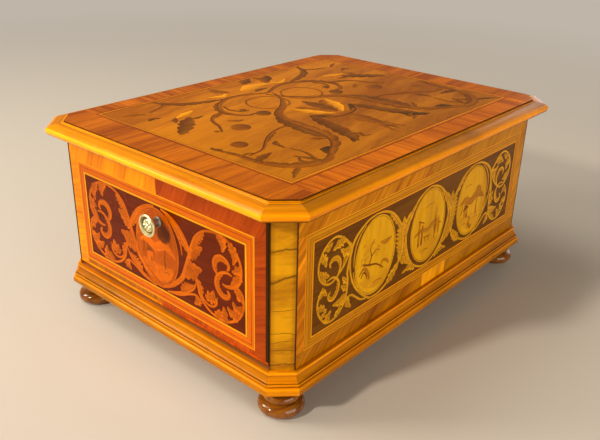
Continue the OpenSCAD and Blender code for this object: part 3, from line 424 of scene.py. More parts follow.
def cleaned(mesh, merge=0.0, sharp=0):
    # drops slivers; with a merging distance it also joins doubles, turns the faces outwards and smooths them
    work = bmesh.new()
    work.from_mesh(mesh)
    if merge:
        bmesh.ops.remove_doubles(work, verts=work.verts, dist=merge)
    bmesh.ops.dissolve_degenerate(work, dist=1e-7, edges=work.edges)
    if merge:
        bmesh.ops.recalc_face_normals(work, faces=work.faces)
        for face in work.faces:
            face.smooth = True
    work.to_mesh(mesh)
    work.free()
    if merge:
        mesh.set_sharp_from_angle(angle=math.radians(sharp))
    return mesh


def placed(name, mesh, slot, body, replaces=(), finish=None):
    # a finished mesh becomes a piece that rides on its body
    if finish:
        mesh.materials.append(finish)
    piece = newObject(name, mesh)
    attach(piece, body)
    if replaces:
        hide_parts(*replaces)
    return piece


class Gathered:
    # parts of one wood, each with its grain map and tone, gathered into one piece
    def __init__(self, name, finish, slot, body, replaces, seed):
        self.name, self.finish, self.slot, self.body, self.replaces = name, finish, slot, body, replaces
        self.points, self.faces, self.maps, self.tones, self.seeds = [], [], [], [], []
        self.random = random.Random(seed)

    def finishOff(self, merge=0.0, sharp=0):
        mesh = bpy.data.meshes.new(self.name)
        mesh.from_pydata([tuple(p) for p in self.points], [], self.faces)
        layer = mesh.uv_layers.new(name="grain")
        for loop in mesh.loops:
            layer.data[loop.index].uv = self.maps[loop.vertex_index]
        for label, values in (("tone", self.tones), ("seed", self.seeds)):
            mesh.attributes.new(label, "FLOAT", "POINT").data.foreach_set("value", values)
        placed(self.name, cleaned(mesh, merge, sharp), self.slot, self.body, self.replaces, self.finish)


# Flat panels: u and v in millimetres on the panel, and a height out from it
class Panel:
    def __init__(self, origin, u, v, body):
        self.origin, self.u, self.v = Vector(origin), Vector(u), Vector(v)
        self.out = self.u.cross(self.v)
        self.body = body

    def at(self, u, v, h):
        return (self.origin + self.u * u + self.v * v + self.out * h) * mm


raised = 5.0  # heights on the upright panels are counted from this level
panels = {
    "lid": Panel((0, 0, 187.8), (1, 0, 0), (0, 1, 0), "lid"),
    "front": Panel((0, -140, raised), (1, 0, 0), (0, 0, 1), "case"),
    "door": Panel((-193, 0, raised), (0, -1, 0), (0, 0, 1), "door"),
    "end": Panel((193, 0, raised), (0, 1, 0), (0, 0, 1), "case"),
    "back": Panel((0, 140, raised), (-1, 0, 0), (0, 0, 1), "case"),
}


walls = {"low": 38.6, "high": 170.2, "half": 179.2}  # edges of the front and back walls' veneer
layers = {"sheet": -0.15, "cell": 4, "drop": 0.004}  # deepest inlay, size of a cell, drop between two levels


class Veneer(Gathered):
    # many flat pieces of one wood, gathered into one object
    taken = {}

    def __init__(self, name, panel, finish, slot, replaces=()):
        self.on, self.panel = panel, panels[panel]
        seed = len(name) * 31 + len(panel)
        super().__init__(name.replace(" ", "-"), finish, slot, self.panel.body, replaces, seed)

    def level(self, top, patches):
        # pieces that cross never share one level; the sheets under them all stay where they are
        if top <= layers["sheet"]:
            return top
        wide = layers["cell"]
        spans = [[(int(min(c) // wide), int(max(c) // wide) + 1) for c in list(zip(*(p[:2] for p in patch)))[:2]]
                 for patch in patches]
        cells = {(self.on, top, i, j) for (i0, i1), (j0, j1) in spans for i in range(i0, i1) for j in range(j0, j1)}
        used = set().union(*(Veneer.taken.get(cell, ()) for cell in cells))
        k = next(k for k in range(99) if k not in used)
        for cell in cells:
            Veneer.taken.setdefault(cell, set()).add(k)
        return top - layers["drop"] * k

    def strip(self, left, right, top=-0.02, bottom=-0.25, angle=0.0, tones=(0.0, 0.0), closed=False):
        # a prism between two edges with the same number of points; left lies to the left of the way along
        first, n = len(self.points), len(left)
        top = self.level(top, [left[i - 1:i + 1] + right[i - 1:i + 1] for i in range(1, n)])
        seed = self.random.uniform(0, 3)
        c, s = math.cos(math.radians(angle)), math.sin(math.radians(angle))
        for h in (top, bottom):
            for side, tone in ((left, tones[0]), (right, tones[1])):
                for u, v in side:
                    self.points.append(self.panel.at(u, v, h))
                    self.maps.append(((u * c + v * s) * mm, (v * c - u * s) * mm))
                    self.tones.append(tone)
                    self.seeds.append(seed)
        tl, tr, bl, br = (first + k * n for k in range(4))
        for i in range(n if closed else n - 1):
            j = (i + 1) % n
            self.faces += [(tr + i, tr + j, tl + j, tl + i), (bl + i, bl + j, br + j, br + i),
                           (tl + i, tl + j, bl + j, bl + i), (tr + j, tr + i, br + i, br + j)]
        if not closed:
            e = n - 1
            self.faces += [(tl, bl, br, tr), (tr + e, br + e, bl + e, tl + e)]

    def slab(self, outline, top=-0.02, bottom=-0.25, angle=0.0):
        # a prism on any outline of (u, v, tone), cut where the outline crosses itself
        seed = self.random.uniform(0, 3)
        c, s = math.cos(math.radians(angle)), math.sin(math.radians(angle))
        spots, _, faces, given, _, _ = geometry.delaunay_2d_cdt(
            [Vector(p[:2]) for p in outline], [], [list(range(len(outline)))], 1, 1e-4)
        top = self.level(top, [[spots[i] for i in face] for face in faces])
        n, first, used = len(spots), len(self.points), {}
        for h in (top, bottom):
            for spot, old in zip(spots, given):
                self.points.append(self.panel.at(spot.x, spot.y, h))
                self.maps.append(((spot.x * c + spot.y * s) * mm, (spot.y * c - spot.x * s) * mm))
                self.tones.append(outline[old[0]][2] if old else 0.0)
                self.seeds.append(seed)
        for face in faces:
            self.faces += [tuple(first + i for i in face), tuple(first + n + i for i in reversed(face))]
            for i, j in zip(face, face[1:] + face[:1]):
                used[(i, j)] = (j, i) in used
                if used[(i, j)]:
                    used[(j, i)] = True
        self.faces += [(first + j, first + i, first + n + i, first + n + j)
                       for (i, j), twice in used.items() if not twice]

    def rectangle(self, u0, v0, u1, v1, top=-0.16, **rest):
        self.strip([(u0, v1), (u1, v1)], [(u0, v0), (u1, v0)], top, **rest)


def smoothPath(points, steps=6):
    # a curve through the points; widths or other numbers after the first two are carried along
    out = []
    for i in range(len(points) - 1):
        p0, p1, p2, p3 = points[max(i - 1, 0)], points[i], points[i + 1], points[min(i + 2, len(points) - 1)]
        for k in range(steps):
            t = k / steps
            out.append(tuple(0.5 * (2 * b + (c - a) * t + (2 * a - 5 * b + 4 * c - d) * t * t
                                    + (3 * b - a - 3 * c + d) * t ** 3) for a, b, c, d in zip(p0, p1, p2, p3)))
    out.append(tuple(points[-1]))
    return out


def withNormals(path):
    out = []
    for i, p in enumerate(path):
        a, b = path[max(i - 1, 0)], path[min(i + 1, len(path) - 1)]
        du, dv = b[0] - a[0], b[1] - a[1]
        size = math.hypot(du, dv) or 1
        out.append((p, (du / size, dv / size), (-dv / size, du / size)))
    return out


def ribbon(veneer, points, steps=6, **rest):
    # a band that follows the points (u, v, width)
    left, right = [], []
    for (u, v, w), _, out in withNormals(smoothPath(points, steps)):
        left.append((u + out[0] * w / 2, v + out[1] * w / 2))
        right.append((u - out[0] * w / 2, v - out[1] * w / 2))
    veneer.strip(left, right, **rest)


def lobed(t, count, depth):
    return 1 - depth + depth * abs(math.sin(math.pi * count * t)) ** 0.6


def frill(veneer, points, side, reach, count, start=0.0, end=1.0, lean=0.5, depth=0.6, steps=6,
          tones=(0.0, 0.0), **rest):
    # a row of leaf lobes on one side (1 left, -1 right) of the path, leaning back along it
    path = withNormals(smoothPath(points, steps))
    first, last = int(start * (len(path) - 1)), int(end * (len(path) - 1))
    inner, outer = [], []
    fine = max(count * 7, 8)
    for k in range(fine + 1):
        t = k / fine
        at = first + (last - first) * t
        i = min(int(at), len(path) - 2)
        f = at - i
        (p, along, out), (q, _, _) = path[i], path[i + 1]
        u, v, w = (a + (b - a) * f for a, b in zip(p, q))
        swell = math.sin(math.pi * min(max(t, 0.02), 0.98)) ** 0.5
        h = reach * swell * lobed(t, count, depth)
        inner.append((u, v))
        outer.append((u + out[0] * side * (w / 2 + h) - along[0] * lean * h,
                      v + out[1] * side * (w / 2 + h) - along[1] * lean * h))
    near, far = tones
    veneer.slab([(u, v, near) for u, v in inner] + [(u, v, far) for u, v in reversed(outer)], **rest)


def leaf(veneer, points, count=5, depth=0.45, lean=0.5, tones=(0.0, 0.0), **rest):
    # a free leaf on a spine of (u, v, width), lobed on both sides
    path = withNormals(smoothPath(points, 8))
    n = len(path) - 1
    left, right = [], []
    for i, ((u, v, w), along, out) in enumerate(path):
        h = w / 2 * lobed(i / n, count, depth)
        back = lean * h
        for side, edge in ((1, left), (-1, right)):
            edge.append((u + out[0] * side * h - along[0] * back, v + out[1] * side * h - along[1] * back))
    veneer.slab([(u, v, tones[0]) for u, v in left] + [(u, v, tones[1]) for u, v in reversed(right)], **rest)


def oval(veneer, u, v, a, b, count=48, **rest):
    left, right = [], []
    for i in range(count + 1):
        t = math.pi * i / count
        left.append((u - a * math.sin(t), v - b * math.cos(t)))
        right.append((u + a * math.sin(t), v - b * math.cos(t)))
    veneer.strip(left, right, **rest)


def ring(veneer, u, v, inner, outer, count=72, **rest):
    # between two ellipses, each (half width, half height)
    around = [tau * i / count for i in range(count)]
    left = [(u + inner[0] * math.cos(t), v + inner[1] * math.sin(t)) for t in around]
    right = [(u + outer[0] * math.cos(t), v + outer[1] * math.sin(t)) for t in around]
    veneer.strip(left, right, closed=True, **rest)


def mitredFrame(veneer, box, inner, outer, **rest):
    # four lengths round a rectangle (u0, v0, u1, v1), from inner to outer offset
    u0, v0, u1, v1 = box
    corners = [[(u0 - a, v0 - a), (u1 + a, v0 - a), (u1 + a, v1 + a), (u0 - a, v1 + a)] for a in (inner, outer)]
    for k in range(4):
        j = (k + 1) % 4
        veneer.strip([corners[0][k], corners[0][j]], [corners[1][k], corners[1][j]],
                     angle=90 * k, **rest)


def stroke(veneer, points, flip, centre, frills, **rest):
    # a scroll and its leaf frills, from points counted from the centre line, turned over when flip is -1
    laid = [(centre + flip * s, v, w) for s, v, w in points]
    for side, reach, count, start, end, lean in frills:
        frill(veneer, laid, side * flip, reach, count, start, end, lean, **rest)
    ribbon(veneer, laid, **rest)


finishes = {name: woodFinish(name, look) for name, look in woods.items()}


class Marquetry:
    # the veneers of one panel, each begun when it is first asked for; the first stands for the plain solid
    def __init__(self, panel, slot, node):
        self.panel, self.slot, self.node, self.made = panel, slot, node, {}

    def wood(self, name, layer=None):
        key = layer or name
        if key not in self.made:
            self.made[key] = Veneer(self.panel + "-" + key, self.panel, finishes[name], self.slot,
                                    () if self.made else (self.node,))
        return self.made[key]

    def border(self, box, strips):
        for name, a, b in strips:
            mitredFrame(self.wood(name), box, a, b, top=0.0 if "string" in name else -0.01)

    def finishOff(self):
        for piece in self.made.values():
            piece.finishOff()


# Scroll work on the right half of an end panel: strokes with their frills, then free leaves
endScroll = {
    "strokes": [
        ([(-1, 62, 2), (12, 68.5, 3.6), (20.5, 75.5, 4.4), (27, 82.5, 4.8), (31.5, 92, 5), (35, 101, 4.8),
          (38, 109, 4.2), (40.5, 117, 3.4), (45, 126, 2.6), (53, 133, 2.1), (61, 136, 2), (70, 137, 2),
          (79.5, 135.6, 2.1), (87.5, 131, 2.3), (93.5, 124, 2.4), (96.3, 115, 2.5), (95, 106, 3.2), (90.5, 99.3, 4.4),
          (85, 96, 3.6), (79, 94.6, 2.4), (75, 95.5, 1.2)],
         [(-1, 5.5, 4, 0.17, 0.27, 0.5), (-1, 5, 6, 0.335, 0.465, -0.2), (-1, 4, 4, 0.8, 0.9, 0.5)]),
        ([(3, 136.5, 1.6), (10, 134.5, 3.2), (17, 131, 4.6), (24, 126, 5.4), (30, 119.5, 5.6), (35, 112, 4.8),
          (37.5, 107, 2.4)], [(-1, 3, 5, 0.35, 0.95, 0.6)]),
        ([(8, 132.6, 0.8), (16, 127.2, 1.5), (22.5, 119.3, 1.7), (26.5, 111, 1.7), (27.6, 103, 0.8)], []),
        ([(86, 106.2, 1.2), (80.5, 107, 2.2), (75, 105, 2.8), (70, 101, 3.2), (67.5, 95, 3.2), (68.5, 89, 3.2),
          (72, 84.8, 3.2), (77, 83.2, 3.4), (81.5, 85.4, 3.6), (82.6, 89, 3), (80.3, 91, 1.6)],
         [(1, 2.6, 8, 0.2, 0.85, 0.5)]),
        ([(71, 101, 2), (67, 104.5, 2.8), (65.3, 110, 3), (67.3, 115.5, 3), (72, 118.4, 3.2), (77, 118.4, 3.2),
          (81.4, 115.8, 3.2), (82.7, 112, 3), (80.6, 109, 1.6)], [(-1, 2.8, 7, 0.1, 0.8, 0.5)]),
        ([(90, 99, 2), (95.5, 95.5, 2.4), (98, 90, 2.6), (98.4, 83, 2.5), (96, 75.5, 2.3), (91, 69, 2.3),
          (83.5, 63.9, 2.2), (75, 61.2, 2), (66.5, 61.6, 2), (58.5, 64.3, 2.2), (52, 69, 2.4), (48, 75, 2.8),
          (46.5, 82, 3.6), (43, 89, 4)], [(-1, 5, 3, 0.02, 0.2, 0.5), (-1, 3.4, 4, 0.84, 0.98, 0.3)]),
        ([(48.5, 78, 1.6), (51, 73.6, 2), (55, 70.2, 2), (60, 69, 2), (65, 70.5, 2), (68, 74.5, 2), (67.4, 78.6, 1.6)],
         []),
        ([(10, 62, 1.2), (23.5, 66.4, 2.2), (33.5, 71.6, 2.6), (40.5, 77, 2.4), (43.5, 83, 1.4)],
         [(1, 6, 5, 0.3, 0.9, 0.5)]),
        ([(6, 60.8, 1.4), (22, 63.6, 1.8), (33, 68.6, 2), (41, 71.6, 2), (46, 70.4, 2.4), (46.6, 66.6, 2)], []),
    ],
    "leaves": [
        ([(34, 88, 4), (40, 93, 12), (46, 96.5, 10), (52, 98.5, 1.5)], 5),
        ([(38, 106, 5), (43, 112, 10), (48, 115.5, 8), (53, 119, 1.5)], 5),
        ([(72, 136.5, 4), (76, 131, 8.5), (76.5, 127, 6), (75.6, 123, 1)], 4),
        ([(84, 133, 3), (88, 127, 7.5), (89, 121.5, 5.5), (87.4, 116, 1)], 5),
        ([(96, 114.5, 3), (92, 113, 7), (89, 111, 5), (86, 110.5, 1)], 3),
        ([(96, 108, 3), (91, 105, 7), (87, 103.5, 1)], 3),
        ([(98, 91, 3), (93.5, 92, 7), (90, 97.5, 1)], 3),
        ([(97, 77, 3), (92.5, 79, 8), (88.5, 80.5, 6), (86.5, 84, 1)], 4),
        ([(92, 70, 4), (87.5, 72, 9), (83, 74, 6), (80, 77, 1)], 4),
        ([(76, 61.5, 5), (76, 67, 10), (76.5, 71.5, 6), (75.6, 75, 1)], 4),
        ([(67, 62, 4), (69.5, 66, 6), (71.5, 70.5, 1)], 3),
        ([(68, 77, 2), (64, 80, 8), (64.5, 85, 1)], 3),
        ([(66, 75.6, 3), (60, 77.6, 9), (57.5, 82.5, 1)], 4),
        ([(62, 74.6, 3), (57, 75.6, 5), (54.6, 78, 1)], 3),
        ([(46.6, 70, 3), (44.5, 66, 8), (40.5, 62.6, 1)], 4),
    ],
}


carving = {"frill": 1.25, "frillLine": 0.46, "leaf": 1.3, "vein": 0.34, "line": 0.34, "veinLine": 0.26}


def engrave(veneer, points, width):
    ribbon(veneer, [(u, v, width) for u, v in points], 4, top=0.0)


def layScroll(wood, line, design, axis, flip):
    # one half of a design, turned over about the upright line u = axis when flip is -1
    def over(points):
        return [(axis + flip * (p[0] - axis),) + tuple(p[1:]) for p in points]
    c = carving
    for points, frills in design["strokes"]:
        path = over(points)
        for side, reach, count, start, end, lean in frills:
            frill(wood, path, side * flip, reach * c["frill"], count, start, end, lean, tones=(0.02, -0.12))
            edge = withNormals(smoothPath(path, 6))
            first, last = int(start * (len(edge) - 1)), int(end * (len(edge) - 1))
            engrave(line, [(p[0] + out[0] * side * flip * p[2] * c["frillLine"],
                            p[1] + out[1] * side * flip * p[2] * c["frillLine"])
                           for p, _, out in edge[first:last + 1:3]], c["line"])
        ribbon(wood, path, tones=(0.05, -0.06))
    for points, count in design["leaves"]:
        spine = over([(p[0], p[1], p[2] * c["leaf"]) for p in points])
        leaf(wood, spine, count, 0.5, 0.55, tones=(0.1, -0.2))
        path = smoothPath(spine, 5)
        engrave(line, [p[:2] for p in path[1:-2]], c["line"])
        for p, along, out in withNormals(path)[3:-3:3]:
            for side in (1, -1):
                h = p[2] * c["vein"]
                engrave(line, [p[:2], (p[0] + out[0] * side * h - along[0] * h * 0.5,
                                       p[1] + out[1] * side * h - along[1] * h * 0.5)], c["veinLine"])


# Little landscapes for the medallions: layer, smoothness, points from the middle of the medallion
views = {
    "cottage": [
        ("shade", 6, [(-23, 1, 1), (-13, 4, 7), (-2, 0, 8), (9, 5, 9), (19, 1, 5), (24, -3, 1)]),
        ("bank", 6, [(-20, -16, 3), (-11, -19, 10), (3, -23, 17), (13, -20, 12), (20, -15, 3)]),
        ("shade", 1, [(-10, -15.5, 8), (-10, -6.5, 8)]), ("line", 1, [(-10, -6.5, 11), (-11, -2, 3)]),
        ("line", 1, [(-12.6, -3.4, 1.2), (-12.6, 0, 1.2)]), ("line", 1, [(-8, -15.5, 1.7), (-8, -11.5, 1.7)]),
        ("line", 6, [(10, -17, 1.8), (9.4, -8, 1.1), (10.6, 1, 0.8)]),
        ("shade", 6, [(3, 0, 1), (7, 3, 7), (12, 5, 9), (17, 2, 5), (19, 0, 1)]),
        ("shade", 6, [(5, 9, 1), (9, 11, 5), (14, 10, 4), (16, 8, 1)]),
        ("shade", 6, [(-6, -16, 1.4), (0, -19, 2.4), (-3, -24, 3.4), (4, -30, 4.6)]),
        ("line", 6, [(-19, -10, 0.8), (-17.6, -3, 0.6), (-18, 3, 0.4)]),
        ("line", 4, [(-16, 17, 0.35), (-9, 19, 0.35), (-3, 17.6, 0.35)]),
        ("line", 4, [(8, -21, 0.4), (11, -20, 0.4), (15, -20.6, 0.4)]),
        ("line", 4, [(-14, -22, 0.4), (-11, -21.4, 0.4), (-8, -22.4, 0.4)])],
    "garden": [
        ("bank", 6, [(-20, -19, 2), (-10, -22, 10), (4, -26, 10), (14, -23, 7), (19, -19, 2)]),
        ("shade", 6, [(-22, -12, 1), (-16, -7, 3), (-11, -11, 3.4), (-8, -17, 3), (-9, -20, 1)]),
        ("line", 6, [(-19, -15, 0.8), (-16, -10.6, 1.4), (-12.4, -13, 1.6), (-11, -18, 1)]),
        ("shade", 6, [(7, -15, 1), (11, -9, 2.6), (17, -11, 3), (20, -15, 1)]),
        ("line", 6, [(-17, -3, 1.8), (-9, -6, 1.8), (2, -9, 1.5), (12, -16, 1)]),
        ("line", 6, [(-9, -6, 1), (-6, 1, 1), (-8, 9, 0.7), (-3, 16, 0.5)]),
        ("line", 6, [(-6, 1, 0.9), (1, 5, 0.8), (5, 3, 0.6)]),
        ("shade", 6, [(22, 10, 1), (14, 8, 5), (6, 10, 1.6)]),
        ("line", 4, [(-2, -26, 0.4), (4, -25, 0.4), (11, -26.4, 0.4)])],
    "terrace": [
        ("shade", 6, [(-22, -5, 1), (-12, -2, 4), (0, -4, 5), (12, 0, 6), (22, -4, 1)]),
        ("bank", 6, [(-19, -18, 2), (-9, -21, 8), (4, -25, 14), (14, -21, 9), (19, -17, 2)]),
        ("shade", 1, [(-14, -17, 3), (-14, 8, 2.6)]), ("shade", 1, [(-9, -17, 3), (-9, 3, 2.6)]),
        ("line", 1, [(-16, 8.6, 1), (-7, 4.4, 1)]), ("line", 1, [(-15.4, -17, 0.5), (-15, 8, 0.5)]),
        ("line", 1, [(-10.4, -17, 0.5), (-10.2, 3, 0.5)]),
        ("line", 6, [(12, -17, 1.2), (12.4, -6, 0.9), (12, 6, 0.6)]),
        ("shade", 6, [(12, -13, 1), (12.4, -4, 5.4), (12, 6, 4.4), (12, 17, 0.8)]),
        ("shade", 6, [(17.6, -14, 1), (18, -7, 3.6), (17.6, 4, 0.8)]),
        ("line", 1, [(-4, -15, 0.6), (-4, -10, 0.6)]), ("line", 1, [(2, -15.6, 0.6), (2, -10.6, 0.6)]),
        ("line", 1, [(-6, -10.4, 0.8), (5, -11, 0.8)]),
        ("line", 4, [(-6, 19, 0.35), (1, 21, 0.35), (8, 19.6, 0.35)]),
        ("line", 4, [(-8, -24, 0.4), (-3, -23.2, 0.4), (3, -24.4, 0.4)])],
}


viewLevels = {"line": -0.01, "shade": -0.075, "bank": -0.11, "leaves": -0.03}


def layView(name, sheets, u, v):
    for layer, steps, points in views[name]:
        ribbon(sheets[layer], [(u + s, v + h, w) for s, h, w in points], steps, top=viewLevels[layer], angle=20)
    if name == "garden":
        spread = random.Random(7)
        for cluster, count, reach in (((-9, 11), 22, 9), ((3, 4), 12, 6), ((-15, 1), 9, 5)):
            for _ in range(count):
                a, r = spread.uniform(0, tau), reach * spread.uniform(0, 1) ** 0.6
                s, h = u + cluster[0] + r * math.cos(a), v + cluster[1] + r * 0.8 * math.sin(a)
                leaf(sheets["bank"], [(s - 1.6, h - 1, 0.8), (s, h, 3), (s + 1.6, h + 0.8, 0.8)], 3, 0.5, 0.2,
                     top=viewLevels["leaves"])


# The door panel and the same marquetry on the right end
doorLook = {
    "ground": (-103.0, 60.0, 100.0, 137.6),
    "border": [("stringDark", 0, 0.45), ("stringLight", 0.45, 2.3), ("stringDark", 2.3, 2.7),
               ("doorBorder", 2.7, 6.6), ("stringDark", 6.6, 7.0), ("doorBorder", 7.0, 9.4),
               ("stringLight", 9.4, 10.4)],
    "rim": 10.4,
    "oval": (-5.0, 98.5, 26.0, 35.4),
}
endPanels = {
    # half width, lowest and highest edge, where the crossbanding changes its wood, width of the dark strip at the
    # edge: painted shade of the gap beside the post on the door, a dark joint on the end
    "door": {"half": 124.6, "low": 45.0, "high": 170.0, "middle": -2, "joint": 2.6},
    "end": {"half": 126.2, "low": 38.6, "high": 170.2, "middle": 2, "joint": 1.1},
}


def layEndPanel(panel, look):
    box, rim, wall = look["ground"], look["rim"], endPanels[panel]
    half, low, high, middle = (wall[key] for key in ("half", "low", "high", "middle"))
    laid = Marquetry(panel, "crossband_veneer", panel + "_veneer")
    wood = laid.wood
    u0, v0, u1, v1 = (box[0] - rim, box[1] - rim, box[2] + rim, box[3] + rim)
    band = wood("doorBand")
    band.rectangle(middle, v1, half, high, angle=62, tones=(-0.05, 0.0))
    band.rectangle(u1, low, half, v1, angle=24, tones=(-0.12, -0.05))
    band.rectangle(middle - 1, low, u1, v0, angle=80, tones=(0.22, 0.16))
    light = wood("goldBand", "band")
    light.rectangle(-half, v1, middle - 36, high, angle=68, tones=(0.02, 0.08))
    light.rectangle(-half, low, u0, v1, angle=12, tones=(0.0, 0.06))
    light.rectangle(u0, low, middle - 1, v0, angle=84, tones=(-0.42, -0.46))
    light.rectangle(middle - 36, v1, middle, high, angle=72, tones=(0.16, 0.24))
    # on the door this dark strip is painted shade of the gap beside the post; on the end it is a dark joint
    wood("lidDeep", "joint").rectangle(half - wall["joint"], low, half, high, top=0.0, angle=90, tones=(-0.6, -0.6))
    laid.border(box, look["border"])
    wood("doorGround").rectangle(*box, top=-0.18, angle=3)
    scroll, line = wood("doorScroll"), wood("engraving")
    for flip in (1, -1):
        layScroll(scroll, line, endScroll, (box[0] + box[2]) / 2, flip)
    ou, ov, a, b = look["oval"]
    ring(scroll, ou, ov, (a + 0.4, b + 0.4), (a + 2.0, b + 1.6), tones=(0.1, -0.1))
    oval(wood("doorOval"), ou, ov, a, b, top=-0.15, angle=90)
    layView("cottage", {"bank": wood("doorScroll", "bank"), "shade": wood("doorBorder", "view"), "line": line}, ou, ov)
    laid.finishOff()


for panel in endPanels:
    layEndPanel(panel, doorLook)
print("end marquetry laid")


# The front panel: three medallions between scrolls
frontLook = {
    "ground": (-160.0, 61.0, 157.5, 141.4),
    "border": [("stringDark", 0, 0.4), ("stringLight", 0.4, 1.9), ("stringDark", 1.9, 2.3),
               ("frontBorder", 2.3, 4.6), ("stringDark", 4.6, 4.9), ("frontBorder", 4.9, 8.0),
               ("stringDark", 8.0, 8.5), ("stringLight", 8.5, 9.5)],
    "rim": 9.5,
    "ovals": (-80.5, -0.5, 78.0),
    "middle": 101.5,
    "size": (26.5, 34.5),
}

# Scroll work on the left half of the front panel
frontScroll = {
    "strokes": [
        ([(-82, 139.6, 1.4), (-92, 138, 2), (-102, 133.5, 2.4), (-110, 127, 2.8), (-114.6, 118, 2.8),
          (-115.6, 108, 2.4), (-114, 97, 2), (-109.5, 86, 2), (-102.5, 76.5, 2), (-94, 68.5, 2),
          (-86, 63.2, 1.6)], []),
        ([(-82, 139.6, 1.4), (-72, 138.3, 1.9), (-62, 134.2, 2.4), (-54, 127.8, 2.8), (-47, 119.4, 3),
          (-42, 111.5, 2.8)], [(-1, 2.6, 4, 0.4, 0.9, 0.5)]),
        ([(-88, 63, 1.6), (-76, 62.2, 2), (-67, 64.5, 2.4), (-59, 68.5, 2)], []),
        ([(-96, 134.2, 0.7), (-103.5, 128, 1.3), (-108.6, 119, 1.4), (-110.4, 108, 1.2), (-110, 101, 0.7)], []),
        ([(-110.6, 97, 0.7), (-107.6, 87, 1.3), (-102, 79, 1.3), (-95, 71.6, 0.7)], []),
        ([(-44.4, 119, 2), (-42, 110, 3.4), (-41, 100, 3.8), (-41.6, 90, 3.4), (-45, 82, 2)],
         [(-1, 7, 8, 0.02, 0.98, 0.45)]),
        ([(-1.25, 139.8, 1.4), (-11, 137.4, 2), (-20, 132.4, 2.5), (-27.5, 124.4, 2.8), (-33, 114, 2.8),
          (-37, 104, 3.4)], []),
        ([(-37, 104, 3.4), (-35.4, 95, 2.8), (-32.4, 86, 2.5), (-27, 76, 2.3), (-19, 67.8, 2.1), (-9, 62.8, 1.8),
          (-1.25, 61.4, 1.4)], []),
        ([(-116, 112, 3), (-114, 121, 3), (-119, 127.5, 2.6), (-126, 134, 2.1), (-133, 137.4, 1.9),
          (-139.4, 137.2, 1.9), (-146.4, 133.6, 2), (-151.6, 127.6, 2.1), (-154.6, 120, 2.2), (-154, 112, 2.2),
          (-151, 105.6, 2.2), (-146, 101, 2.2), (-141, 99, 2), (-136, 99.6, 1.9), (-131, 102.4, 2),
          (-123.6, 108.6, 2.2), (-118.6, 115, 2)],
         [(1, 3, 4, 0.55, 0.7, 0.5)]),
        ([(-130.6, 103, 1.4), (-128, 109, 2.2), (-128.2, 115, 2.4), (-131.6, 119.4, 2.5), (-137, 120.2, 2.5),
          (-140.8, 117, 2.4), (-140.2, 112.8, 1.4)], [(1, 2, 5, 0.2, 0.85, 0.5)]),
        ([(-116, 112, 3), (-118.6, 101, 2.4), (-117.6, 95, 2.2), (-117.6, 86, 2.1), (-119.2, 77, 2.1),
          (-123.4, 70, 2.1), (-129.4, 65.4, 2), (-137, 63.6, 1.9), (-143.4, 65, 2), (-148.4, 69.4, 2), (-153, 77, 2.1),
          (-154.6, 84.6, 2.1), (-152.6, 92.6, 2), (-148, 98.6, 1.6)], []),
        ([(-143.6, 102.4, 1), (-138, 103.4, 1.8), (-132.4, 101, 2.2), (-129.2, 96, 2.4), (-129.4, 90, 2.5),
          (-132.8, 84.6, 2.5), (-137, 83, 2.5), (-140.8, 85.2, 2.4), (-141.4, 89, 2), (-139, 91.4, 1.2)],
         [(-1, 2, 7, 0.3, 0.9, 0.5)]),
        ([(-90, 64.6, 1.4), (-98, 66.8, 1.8), (-105, 72, 2), (-111, 76.6, 2), (-116, 76.4, 2.2),
          (-117.6, 72.4, 2)], []),
    ],
    "leaves": [
        ([(-60, 67.6, 3), (-54, 72.6, 8), (-48, 78.4, 6), (-43, 85, 1)], 5),
        ([(-41, 107, 4), (-37, 114.4, 8), (-31, 121, 7), (-22, 130, 1.5)], 5),
        ([(-44, 113, 3), (-41, 118, 6), (-41.4, 124, 1)], 3),
        ([(-39, 97, 4), (-37, 87, 9), (-31.6, 78, 7), (-23.6, 70.6, 1.5)], 5),
        ([(-18, 65, 3), (-27, 69, 6), (-38, 66.8, 1)], 4),
        ([(-40.6, 90, 3), (-40, 82, 6), (-37.4, 76, 1)], 3),
        ([(-124, 131.6, 4), (-131, 130, 8), (-138.4, 127, 1)], 4),
        ([(-115.6, 121, 4), (-122, 120.4, 8), (-128.4, 125, 1)], 4),
        ([(-151.4, 127, 3), (-147.4, 121.6, 7), (-145.6, 115.4, 1)], 4),
        ([(-148, 132, 2), (-142.6, 131.6, 5.4), (-138.4, 134.6, 1)], 3),
        ([(-153, 109.6, 3), (-146.4, 108, 7), (-141, 106, 1)], 4),
        ([(-119, 116, 3), (-122.6, 113, 4.6), (-124.6, 109, 1)], 3),
        ([(-152.4, 91.6, 3), (-147.4, 93.4, 6), (-143, 89.6, 1)], 4),
        ([(-154, 82, 3), (-148.4, 80, 6), (-144.4, 76, 1)], 4),
        ([(-142, 65, 4), (-141, 69.6, 7), (-137, 74, 1)], 4),
        ([(-131, 65.6, 3), (-128, 69, 5), (-125, 72.6, 1)], 3),
        ([(-118.6, 79.6, 4), (-126.4, 77, 8), (-136, 77.4, 1)], 5),
        ([(-117.6, 92, 3), (-121.6, 95, 5), (-124.6, 99, 1)], 3),
        ([(-117.6, 86, 3), (-122, 88, 5), (-126, 91.6, 1)], 3),
        ([(-117.4, 75.6, 3), (-115.4, 69.6, 5.6), (-111, 65.6, 1)], 3),
        ([(-150, 72, 2), (-146, 74, 4), (-143, 78, 1)], 3),
    ],
}


